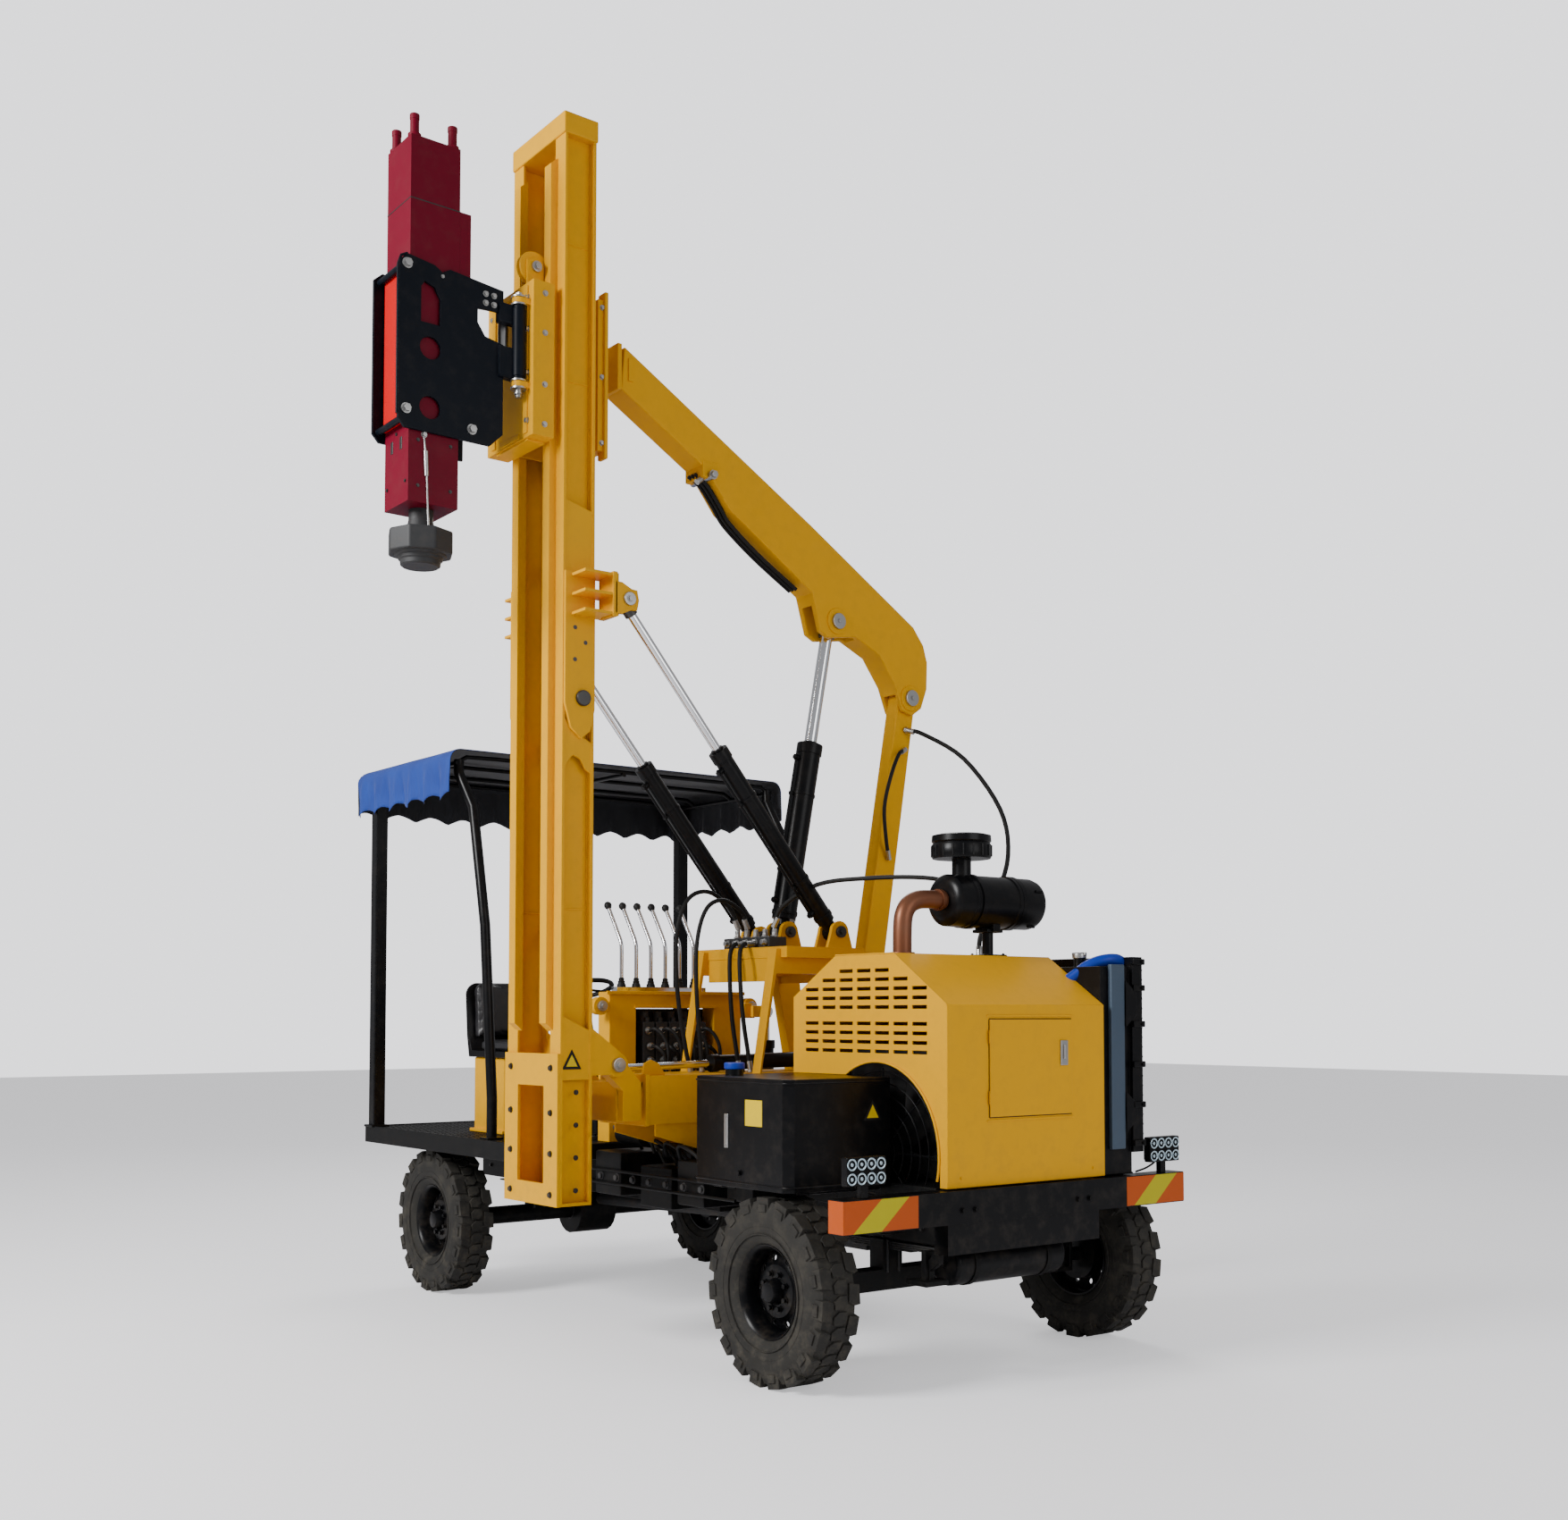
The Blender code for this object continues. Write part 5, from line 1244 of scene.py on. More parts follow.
def cylinder_trim(tag, base, eye, x, gland, bar_r, rod_r):
    """Gland, rings, ports and the side pipe of one cylinder."""
    pieces = [round_bar(along(base, eye, x, gland - 0.055), along(base, eye, x, gland + 0.006),
        bar_r + 0.006, 32, edge=0.003), round_bar(along(base, eye, x, 0.10), along(base, eye, x, 0.125),
        bar_r + 0.005, 32, edge=0.003)]
    pieces.append(round_bar(along(base, eye, x, gland), along(base, eye, x, gland + 0.018), rod_r + 0.010,
        24, edge=0.002))
    for t in (0.17, gland - 0.09):
        pieces.append(round_bar(along(base, eye, x, t, 0, -bar_r + 0.004),
            along(base, eye, x, t, 0, -bar_r - 0.022), 0.016, 16, edge=0.002))
        pieces.append(nut(along(base, eye, x, t, 0, -bar_r - 0.016),
            along(base, eye, x, t, 0, -1) - along(base, eye, x, t), 0.026, 0.016))
    for t in (0.35, gland - 0.30):
        pieces.append(round_bar(along(base, eye, x, t), along(base, eye, x, t + 0.016), bar_r + 0.004, 28,
            edge=0.001))
        pieces.append(block(along(base, eye, x, t, 0, -bar_r - 0.014) - Vector((0.012, 0.010, 0.010)),
            along(base, eye, x, t, 0, -bar_r - 0.014) + Vector((0.012, 0.010, 0.010)), 0.003))
    pieces.append(pipe([along(base, eye, x, 0.17, 0, -bar_r - 0.016),
        along(base, eye, x, 0.22, 0, -bar_r - 0.016), along(base, eye, x, gland - 0.14, 0, -bar_r - 0.016),
        along(base, eye, x, gland - 0.09, 0, -bar_r - 0.016)], 0.007, 4, smooth=False))
    dress(together(pieces), tag + "_barrel", black, tag + "_barrel_trim")
    collar = [round_bar(along(base, eye, x, (at(x, *eye) - at(x, *base)).length - 0.085),
        along(base, eye, x, (at(x, *eye) - at(x, *base)).length - 0.030), rod_r + 0.010, 24, edge=0.004)]
    dress(together(collar), tag + "_rod", dark_steel, tag + "_rod_collar")


BASE, EYE = (0.10, 2.13), (-1.26, 3.75)
for side, s in (("far", -1), ("near", 1)):
    cylinder_trim("tilt_" + side, BASE, EYE, MAST_X + s * 0.355, 1.20, 0.048, 0.024)
cylinder_trim("lift", (0.02, 2.14), (0.36, 3.93), MAST_X, 1.09, 0.068, 0.036)

# %% [markdown]
# The frame under the cylinders carries their base pins, a hose manifold with fittings, and
# stiffening ribs.

# %% Cylinder frame details
pins = []
for centre, y, z, w in ((MAST_X - 0.355, 0.10, 2.13, 0.062), (MAST_X + 0.355, 0.10, 2.13, 0.062),
        (MAST_X, 0.02, 2.14, 0.075)):
    for s in (-1, 1):
        pins.append(round_bar(at(centre + s * (w - 0.002), y, z), at(centre + s * (w + 0.018), y, z), 0.032,
            28, edge=0.003))
        pins.append(nut(at(centre + s * (w + 0.016), y, z), (s, 0, 0), 0.026, 0.012))
dress(together(pins), "chassis", dark_steel, "cylinder_base_pins")
ribs = []
for s in (-1, 1):
    ribs.append(plate(shifted([(-0.19, 1.90), (0.20, 1.90), (0.26, 1.985), (-0.25, 1.985)], "x"), "x",
        *sorted((at(MAST_X + s * 0.16, 0, 0).x, at(MAST_X + s * 0.175, 0, 0).x)), 0.003))
    ribs.append(block(at(MAST_X + s * 0.30 - 0.04, -0.487, 0.8958),
        at(MAST_X + s * 0.30 + 0.11 * s + 0.04, -0.455, 0.93), 0.004))
for y in (-0.262, 0.248):
    ribs.append(block(at(MAST_X - 0.30, y - 0.006, 1.86), at(MAST_X + 0.30, y + 0.006, 1.985), 0.004))
dress(together(ribs), "chassis", yellow, "cylinder_frame_ribs")
manifold = [block(at(MAST_X - 0.22, -0.22, 2.0455), at(MAST_X + 0.20, -0.10, 2.105), 0.005)]
fittings = []
for k in range(5):
    x = MAST_X - 0.17 + 0.085 * k
    fittings.append(round_bar(at(x, -0.16, 2.10), at(x, -0.16, 2.15), 0.015, 16, edge=0.002))
    fittings.append(nut(at(x, -0.16, 2.11), (0, 0, 1), 0.030, 0.018))
    fittings.append(nut(at(x, -0.222, 2.075), (0, -1, 0), 0.026, 0.03))
dress(together(manifold), "chassis", iron, "hose_manifold")
dress(together(fittings), "chassis", steel, "manifold_fittings")

# %% [markdown]
# ## Slide beam trim
# The sliding base has a wear flange at its mouth, gusset plates beneath and its own pin bosses.
# The cylinder that slides it lies above.

# %% Slide beam trim
slide_bits = [block(at(MAST_X - 0.222, -1.024, 1.113), at(MAST_X + 0.222, -1.000, 1.377), 0.004)]
for s in (-1, 1):
    slide_bits.append(plate(shifted([(-0.95, 1.06), (-0.60, 0.96), (-0.30, 1.06), (-0.30, 1.125),
        (-0.95, 1.125)], "x"), "x", *sorted((at(MAST_X + s * 0.185, 0, 0).x,
        at(MAST_X + s * 0.20, 0, 0).x)), 0.003))
    slide_bits.append(round_bar(at(MAST_X + s * 0.150, -1.22, 1.43), at(MAST_X + s * 0.1615, -1.22, 1.43),
        0.045, 28, edge=0.002))
    slide_bits.append(plate(shifted([(-1.00, 1.37), (-0.86, 1.37), (-0.90, 1.43), (-0.95, 1.45),
        (-0.99, 1.43)], "x"), "x", *sorted((at(MAST_X + s * 0.14, 0, 0).x, at(MAST_X + s * 0.155, 0, 0).x)),
        0.003))
dress(together(slide_bits), "chassis", yellow, "slide_beam_trim")
slide_rod = [round_bar(at(MAST_X, -1.17, 1.40), at(MAST_X, -0.42, 1.42), 0.020, 24),
    nut(at(MAST_X, -1.17, 1.40), (0, -1, 0), 0.04, 0.02)]
dress(together(slide_rod), "chassis", chrome, "slide_rod")
slide_barrel = [round_bar(at(MAST_X, -0.44, 1.42), at(MAST_X, 0.30, 1.435), 0.042, 28, edge=0.004),
    round_bar(at(MAST_X, -0.47, 1.419), at(MAST_X, -0.42, 1.42), 0.048, 28, edge=0.004)]
for y in (-0.30, 0.20):
    slide_barrel.append(block(at(MAST_X - 0.05, y, 1.37), at(MAST_X + 0.05, y + 0.03, 1.40), 0.003))
dress(together(slide_barrel), "chassis", black, "slide_cylinder")

# %% [markdown]
# ## Hoses
# Rubber hoses sag under their own weight and leave each fitting straight. Each is one spline
# through given points, with a crimped ferrule at both ends.


# %% Hoses
def crimp(points, r, first):
    """A steel ferrule and a hexagon nut near each end of a hose."""
    ends = []
    for a, b in ((points[first], points[first + 1]), (points[-1], points[-2])):
        u = (b - a).normalized()
        ends.append(round_bar(a - u * 0.004, a + u * 0.045, r * 1.28, 20, edge=0.0015))
        ends.append(round_bar(a - u * 0.016, a - u * 0.002, r * 1.5, 6, edge=0.0015))
    return ends


def route_length(points):
    route = smooth_route(points)
    return sum((b - a).length for a, b in zip(route, route[1:]))


def hose(name, points, r=0.011, crimp_at=0):
    """A free hose with crimped ends; its length is printed."""
    line = hose_curve(points, r, 3)
    line.name = name
    line.data.materials.append(rubber)
    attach(line, "chassis")
    ends = dress(together(crimp(points, r, crimp_at)), "chassis", steel, name + "_ends")
    print(name, round(route_length(points), 3), "m")


MX = MAST_X
hose("return_hose", [at(MX + 0.070, 0.905, 3.36), at(MX + 0.16, 0.95, 3.33), at(MX + 0.42, 1.03, 3.16),
    at(MX + 0.72, 1.02, 2.84), at(MX + 0.88, 0.92, 2.56), at(MX + 0.96, 0.74, 2.30),
    at(MX + 1.04, 0.56, 2.12), at(MX + 1.09, 0.49, 2.05), at(MX + 1.10, 0.48, 1.995)], 0.013)
hose("column_hose", [at(MX + 0.070, 0.88, 3.24), at(MX + 0.11, 0.80, 3.20), at(MX + 0.13, 0.72, 3.06),
    at(MX + 0.12, 0.68, 2.88), at(MX + 0.10, 0.71, 2.70), at(MX + 0.070, 0.755, 2.60)], 0.011)
hose("tank_hose_upper", [at(MX + 0.17, -0.16, 2.062), at(MX + 0.17, -0.16, 2.17),
    at(MX + 0.22, -0.14, 2.27), at(MX + 0.42, -0.06, 2.38), at(MX + 0.72, 0.04, 2.40),
    at(MX + 1.02, 0.16, 2.39), at(MX + 1.17, 0.27, 2.35), at(MX + 1.21, 0.30, 2.29)], 0.012, crimp_at=1)
hose("arch_hose_a", [at(MX - 0.17, -0.16, 2.062), at(MX - 0.17, -0.16, 2.17), at(MX - 0.17, -0.22, 2.28),
    at(MX - 0.16, -0.37, 2.36), at(MX - 0.14, -0.52, 2.31), at(MX - 0.13, -0.60, 2.12),
    at(MX - 0.12, -0.60, 1.80), at(MX - 0.10, -0.56, 1.50), at(MX - 0.10, -0.53, 1.388)], 0.012, crimp_at=1)
hose("arch_hose_b", [at(MX - 0.085, -0.16, 2.062), at(MX - 0.085, -0.16, 2.17), at(MX - 0.08, -0.20, 2.25),
    at(MX - 0.07, -0.33, 2.31), at(MX - 0.06, -0.45, 2.26), at(MX - 0.05, -0.52, 2.08),
    at(MX - 0.04, -0.53, 1.80), at(MX - 0.03, -0.51, 1.50), at(MX - 0.03, -0.50, 1.388)], 0.012, crimp_at=1)
hose("frame_hose_a", [at(MX, -0.250, 2.068), at(MX + 0.005, -0.31, 2.062), at(MX + 0.03, -0.36, 1.98),
    at(MX + 0.06, -0.37, 1.70), at(MX + 0.08, -0.35, 1.48), at(MX + 0.09, -0.34, 1.388)], 0.012)
hose("frame_hose_b", [at(MX + 0.085, -0.250, 2.068), at(MX + 0.09, -0.31, 2.062),
    at(MX + 0.12, -0.36, 1.98), at(MX + 0.16, -0.37, 1.70), at(MX + 0.17, -0.34, 1.48),
    at(MX + 0.18, -0.33, 1.388)], 0.012)
print("hoses laid")
boom_lines = []
for dx in (-0.030, 0.0, 0.030):
    boom_lines.append(pipe([at(MX + dx, 0.10, 4.085), at(MX + dx, -0.16, 4.235), at(MX + dx, -0.36, 4.375),
        at(MX + dx, -0.43, 4.46), at(MX + dx, -0.52, 4.565), at(MX + dx, -0.60, 4.61)], 0.010, 4))
dress(together(boom_lines), "boom", rubber, "boom_underside_hoses")

# %% [markdown]
# ## Operator station
# The driver stands or sits behind a bank of spool valves. Chromed levers crank back towards the
# seat with black knobs on top, and hoses leave the valves inside the window.

# %% Deck plate and rims
deck_bits = [block(at(-4.105, -1.215, 0.868), at(-4.088, 1.215, 0.972), 0.004),
    block(at(-4.10, -1.2135, 0.868), at(-1.98, -1.205, 0.972), 0.003),
    block(at(-4.10, 1.205, 0.868), at(-1.98, 1.2135, 0.972), 0.003)]
dress(together(deck_bits), "chassis", chassis_black, "deck_edge")
treads = []
tread_bar = block((-0.021, -0.0045, 0.0), (0.021, 0.0045, 0.0022), 0.0)
for i in range(40):
    for j in range(46):
        turn = math.radians(45 if (i + j) % 2 else -45)
        treads.append(copy_of(tread_bar, Matrix.Translation(at(-4.06 + 0.0515 * i, -1.17 + 0.052 * j,
            0.9652)) @ Matrix.Rotation(turn, 4, "Z")))
bpy.data.objects.remove(tread_bar, do_unlink=True)
dress(together(treads), "chassis", chassis_black, "deck_tread_bars")
print("tread bars on the deck")

# %% Valves, levers and knobs
valves = [block(at(-2.135, -0.525, 1.35), at(-2.107, 0.025, 1.715), 0.004)]
fittings = []
hoses_in_window = []
for i in range(5):
    y = -0.43 + 0.09 * i
    valves.append(block(at(-2.105, y - 0.040, 1.375), at(-1.995, y + 0.040, 1.640), 0.006))
    valves.append(round_bar(at(-2.05, y, 1.63), at(-2.05, y, 1.700), 0.026, 20, edge=0.003))
    valves.append(round_bar(at(-2.02, y, 1.63), at(-2.02, y, 1.665), 0.016, 16, edge=0.002))
    fittings.append(nut(at(-1.985, y, 1.50), (1, 0, 0), 0.030, 0.03))
    fittings.append(nut(at(-1.985, y, 1.42), (1, 0, 0), 0.030, 0.03))
    hoses_in_window.append(pipe([at(-1.955, y, 1.50), at(-1.91, y + 0.005, 1.495),
        at(-1.885, y + 0.03, 1.46), at(-1.89, y + 0.045, 1.42), at(-1.90, y + 0.05, 1.38),
        at(-1.94, y + 0.05, 1.33)], 0.011, 4))
    hoses_in_window.append(pipe([at(-1.955, y, 1.42), at(-1.93, y + 0.005, 1.41),
        at(-1.915, y + 0.02, 1.37), at(-1.93, y + 0.03, 1.31)], 0.011, 4))
    hoses_in_window.append(pipe([at(-1.975, y - 0.01, 1.59), at(-1.93, y - 0.005, 1.60),
        at(-1.90, y + 0.02, 1.575), at(-1.88, y + 0.045, 1.52), at(-1.875, y + 0.055, 1.45),
        at(-1.90, y + 0.06, 1.36)], 0.011, 4))
    fittings.append(nut(at(-1.992, y - 0.01, 1.59), (1, 0, 0), 0.028, 0.025))
dress(together(valves), "chassis", iron, "spool_valves")
dress(together(fittings), "chassis", steel, "valve_fittings")
dress(together(hoses_in_window), "chassis", rubber, "valve_hoses")
sticks = [block(at(-2.10, -0.62, 1.8103), at(-2.04, 0.0, 1.84), 0.004)]
boots, knobs = [], []
for i in range(6):
    y = -0.57 + 0.1 * i
    sticks.append(pipe([at(-2.07, y, 1.83), at(-2.07, y, 1.95), at(-2.070, y, 2.05), at(-2.076, y, 2.09),
        at(-2.097, y, 2.13), at(-2.215, y, 2.305)], 0.0115, 6))
    boots.append(turned([(1.84, 0.026), (1.855, 0.024), (1.862, 0.018), (1.87, 0.021), (1.877, 0.015),
        (1.885, 0.017), (1.895, 0.0100)], at(-2.07, y, 0), "Z", 24))
    knob = turned([(-0.03, 0.009), (-0.02, 0.016), (-0.004, 0.0225), (0.008, 0.021), (0.018, 0.013),
        (0.020, 0.0001)], (0, 0, 0), "Z", 24)
    knob.data.transform(Matrix.Translation(at(-2.221, y, 2.314)) @ Matrix.Rotation(math.radians(-34), 4, "Y"))
    knobs.append(knob)
levers = dress(together(sticks), "chassis", chrome, "levers_chromed")
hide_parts("control_levers")
dress(together(boots + knobs), "chassis", rubber, "lever_boots_and_knobs")
frame_bits = [block(at(-1.992, -0.72, 1.795), at(-1.978, 0.24, 1.815), 0.003),
    block(at(-1.992, -0.535, 1.345), at(-1.982, 0.035, 1.362), 0.002),
    block(at(-1.992, -0.535, 1.718), at(-1.982, 0.035, 1.735), 0.002)]
for s in (-1, 1):
    frame_bits.append(round_bar(at(-2.03, -0.24 + s * 0.52, 1.73), at(-1.975, -0.24 + s * 0.52, 1.73), 0.05,
        32, edge=0.003))
dress(together(frame_bits), "chassis", yellow, "console_edges")
bosses = [round_bar(at(-1.976, -0.24 + s * 0.52, 1.73), at(-1.955, -0.24 + s * 0.52, 1.73), 0.03, 28,
    edge=0.003) for s in (-1, 1)]
bosses += [nut(at(-1.956, -0.24 + s * 0.52, 1.73), (1, 0, 0), 0.028, 0.014) for s in (-1, 1)]
for y in (-0.66, -0.57, 0.09, 0.18):
    bosses.append(nut(at(-1.99, y, 1.05), (1, 0, 0), 0.020, 0.012))
dress(together(bosses), "chassis", steel, "console_bolts")
outrigger = [round_bar(at(-1.90, 0.34, 0.9655), at(-1.90, 0.34, 1.50), 0.045, 32, edge=0.004),
    round_bar(at(-1.90, 0.34, 1.48), at(-1.90, 0.34, 1.53), 0.052, 32, edge=0.004),
    block(at(-1.96, 0.26, 0.8958), at(-1.84, 0.42, 0.968), 0.006)]
dress(together(outrigger), "chassis", black, "column_slew_barrel")
dress(together([round_bar(at(-1.90, 0.34, 1.52), at(-1.90, 0.34, 1.68), 0.020, 24),
    round_bar(at(-1.925, 0.34, 1.70), at(-1.875, 0.34, 1.70), 0.034, 28, edge=0.004)]), "chassis", chrome,
    "column_slew_rod")
dress(together([block(at(-2.00, 0.215, 1.66), at(-1.95, 0.30, 1.75), 0.008),
    block(at(-1.95, 0.26, 1.665), at(-1.925, 0.40, 1.735), 0.006)]), "chassis", yellow,
    "column_slew_bracket")

# %% [markdown]
# ## Seat
# The seat is a moulded pan with two foam pads under vinyl. The backrest's upper corners are cut
# round first. A short cloth simulation then swells both pads, and that gives them their crowns.


# %% Pads by simulation
def swell(ob, name, cap, pressure=4.0, voxel=0.006):
    """Voxel remesh, swell with Cloth, cap how far a point may go, apply, subdivide once."""
    only(ob)
    remesh = ob.modifiers.new("even mesh", "REMESH")
    remesh.mode = "VOXEL"
    remesh.voxel_size = voxel
    bpy.ops.object.modifier_apply(modifier=remesh.name)
    ob.name = name
    before = [v.co.copy() for v in ob.data.vertices]
    cloth = ob.modifiers.new("cover", "CLOTH")
    cloth.settings.use_pressure = True
    cloth.settings.uniform_pressure_force = pressure
    cloth.settings.effector_weights.gravity = 0
    cloth.settings.quality = 6
    cloth.collision_settings.use_collision = False
    scene = bpy.context.scene
    for step in range(1, 21):
        scene.frame_set(step)
    bpy.context.view_layer.update()
    only(ob)
    bpy.ops.object.modifier_apply(modifier=cloth.name)
    for vert, old in zip(ob.data.vertices, before):
        move = vert.co - old
        if move.length > cap:
            vert.co = old + move.normalized() * cap
    scene.frame_set(1)
    only(ob)
    smooth = ob.modifiers.new("smooth", "SUBSURF")
    smooth.levels = 1
    smooth.render_levels = 1
    bpy.ops.object.modifier_apply(modifier=smooth.name)
    bpy.ops.object.shade_smooth()
    return ob


def round_top(ob, y0, y1, z_top, radius):
    """Cut the two upper corners of a seat back to arcs, as they are seen from the front."""
    cutters = []
    for edge, side in ((y0, -1), (y1, 1)):
        middle = edge - side * radius
        outline = [(middle, z_top + 0.03), (edge + side * 0.02, z_top + 0.03),
            (edge + side * 0.02, z_top - radius)]
        for k in range(9):
            a = math.pi / 2 * k / 8
            outline.append((middle + side * radius * math.cos(a), z_top - radius + radius * math.sin(a)))
        cutters.append(plate(shifted(outline, "x"), "x", at(-3.45, 0, 0).x, at(-3.20, 0, 0).x, 0))
    return cut_away(ob, together(cutters))


seat_y0, seat_y1 = -0.87, -0.45
pan = plate(shifted([(-3.335, 1.4215), (-2.88, 1.4215), (-2.855, 1.450), (-2.90, 1.458), (-3.30, 1.462),
    (-3.345, 1.60), (-3.378, 1.88), (-3.388, 1.86), (-3.362, 1.55)], "y"), "y", at(0, seat_y0 - 0.012, 0).y,
    at(0, seat_y1 + 0.012, 0).y, 0.004)
pan = round_top(pan, seat_y0 - 0.012, seat_y1 + 0.012, 1.880, 0.085)
dress(pan, "chassis", black, "seat_pan")
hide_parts("seat")
cushion = plate(shifted([(-3.24, 1.470), (-2.905, 1.470), (-2.885, 1.490), (-2.892, 1.505), (-3.24, 1.515)],
    "y"), "y", at(0, seat_y0 + 0.014, 0).y, at(0, seat_y1 - 0.014, 0).y, 0.010)
backrest = plate(shifted([(-3.268, 1.54), (-3.300, 1.86), (-3.320, 1.888), (-3.345, 1.880), (-3.328, 1.60),
    (-3.312, 1.54)], "y"), "y", at(0, seat_y0 + 0.014, 0).y, at(0, seat_y1 - 0.014, 0).y, 0.008)
backrest = round_top(backrest, seat_y0 + 0.014, seat_y1 - 0.014, 1.888, 0.070)
for pad, name in ((cushion, "seat_cushion"), (backrest, "seat_backrest")):
    swell(pad, name, 0.013)
    dress(pad, "chassis", vinyl, name)
print("seat pads", len(cushion.data.polygons), len(backrest.data.polygons))
rails = [block(at(-3.24, y - 0.015, 1.4203), at(-2.94, y + 0.015, 1.430), 0.003) for y in (-0.78, -0.54)]
dress(together(rails), "chassis", steel, "seat_rails")
welts = []
for y in (seat_y0 + 0.16, seat_y1 - 0.16):
    welts.append(pipe([at(-3.235, y, 1.5245), at(-3.10, y, 1.5270), at(-2.95, y, 1.5220),
        at(-2.90, y, 1.5120)], 0.0028, 3))
dress(together(welts), "chassis", rubber, "seat_welts")

# %% Steering wheel hub, column boot and seat base plates
station = [round_bar(at(-2.24, -0.62, 0.9655), at(-2.24, -0.62, 0.990), 0.09, 32, edge=0.004)]
for k in range(4):
    a = math.tau * (k + 0.5) / 4
    station.append(nut(at(-2.24 + 0.07 * math.cos(a), -0.62 + 0.07 * math.sin(a), 0.990), (0, 0, 1), 0.016))
station.append(block(at(-2.50, -0.44, 0.9655), at(-2.36, -0.34, 0.985), 0.004))
station.append(plate(shifted([(-2.50, 0.985), (-2.49, 0.985), (-2.40, 1.05), (-2.41, 1.055)], "y"), "y",
    at(0, -0.43, 0).y, at(0, -0.35, 0).y, 0.002))
dress(together(station), "chassis", black, "column_flange_and_pedal")
base_bits = [block(at(-3.32, -0.88, 0.9655), at(-2.90, -0.44, 0.985), 0.004),
    block(at(-2.921, -0.80, 1.08), at(-2.912, -0.52, 1.34), 0.003)]
for y, z in ((-0.78, 1.10), (-0.54, 1.10), (-0.78, 1.32), (-0.54, 1.32)):
    base_bits.append(nut(at(-2.913, y, z), (1, 0, 0), 0.014, 0.008))
dress(together(base_bits), "chassis", yellow, "seat_base_plates")

# %% [markdown]
# ## Canopy
# A rectangle of coated canvas is stretched over the bows and hangs down as a scalloped valance at
# the back and sides. It is one sheet: blue outside and black inside, where the black is painted
# shade for the shaded underside, so a thin wall with two finishes shows both.

# %% Canopy sheet
roof_lo, roof_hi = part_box("canopy_roof")
DROP, OVERHANG = 0.29, 0.015
half_wide = (roof_hi.y - roof_lo.y) / 2 - OVERHANG
roof_x0, roof_x1 = roof_lo.x + OVERHANG, roof_hi.x - OVERHANG
top_z = roof_hi.z - 0.012
BEND_R = 0.07


def over_edge(s, limit):
    """Arc length s from the middle, bent down past the edge: gives distance out and drop."""
    flat = limit - BEND_R
    arc = BEND_R * math.pi / 2
    if s <= flat:
        return s, 0.0
    if s <= flat + arc:
        a = (s - flat) / BEND_R
        return flat + BEND_R * math.sin(a), BEND_R * (1 - math.cos(a))
    return limit, BEND_R + (s - flat - arc)


ARC_EXTRA = BEND_R * (math.pi / 2 - 1)
SKIRT = DROP + ARC_EXTRA
side_reach = half_wide + SKIRT
back_reach = (roof_x1 - roof_x0) + SKIRT
U, V = 150, 110
bpy.ops.mesh.primitive_grid_add(x_subdivisions=V, y_subdivisions=U, size=2)
canopy = bpy.context.object
corner_cut = []
for index, vert in enumerate(canopy.data.vertices):
    u, v = vert.co.y, (vert.co.x + 1) / 2
    across = u * side_reach
    back = v * back_reach
    y_out, y_drop = over_edge(abs(across), half_wide)
    x_out, x_drop = over_edge(back, roof_x1 - roof_x0)
    if y_drop > BEND_R * 0.98 and x_drop > BEND_R * 0.98:
        corner_cut.append(index)
    drop = max(y_drop, x_drop)
    hang = min(1.0, max(0.0, (drop - 0.05) / (DROP - 0.05)))
    phase = (back if y_drop >= x_drop else across) / 0.235
    scallop = 0.045 * abs(math.cos(math.pi * phase))
    ripple = 0.018 * hang * math.sin(math.tau * phase) + 0.007 * hang * math.sin(math.tau * phase * 2.3 + 1.0)
    sag = 0.022 * math.cos(math.pi * min(1,
        abs(across) / half_wide) / 2) * abs(math.sin(math.pi * back / 0.66))
    if drop > 0.01:
        sag = 0.0
    z = top_z - drop * (1 - 0.16 * hang) - sag + scallop * hang * 0.9
    x = roof_x1 - x_out - (ripple if x_drop > y_drop else 0.0)
    y = CENTRE_Y + math.copysign(y_out + (ripple if y_drop >= x_drop else 0.0) * (1 if y_drop > 0 else 0),
        across)
    y = min(max(y, roof_lo.y + 0.004), roof_hi.y - 0.004)
    x = max(x, roof_lo.x + 0.004)
    vert.co = (x, y, z)
only(canopy)
bpy.ops.object.mode_set(mode="EDIT")
bpy.ops.mesh.select_all(action="DESELECT")
bpy.ops.object.mode_set(mode="OBJECT")
for index in corner_cut:
    canopy.data.vertices[index].select = True
bpy.ops.object.mode_set(mode="EDIT")
bpy.ops.mesh.delete(type="VERT")
bpy.ops.mesh.select_all(action="SELECT")
bpy.ops.mesh.normals_make_consistent(inside=False)
bpy.ops.object.mode_set(mode="OBJECT")
canopy.location = (0, 0, 0)
canopy.data.materials.clear()
canopy.data.materials.append(canvas)
# The second finish, on the inner face, is painted shade for the underside.
canopy.data.materials.append(underside_shade_cloth)
upward = sum(p.normal.z * p.area for p in canopy.data.polygons)
if upward < 0:
    canopy.data.flip_normals()
wall = canopy.modifiers.new("thickness", "SOLIDIFY")
wall.thickness = 0.003
wall.offset = -1
wall.material_offset = 1
only(canopy)
bpy.ops.object.modifier_apply(modifier=wall.name)
bpy.ops.object.shade_smooth()
canopy.name = "canopy_sheet"
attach(canopy, "chassis")
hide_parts("canopy_roof")

# %% [markdown]
# Steel bows hold the canvas up. The front pair of posts bends over into the first bow.

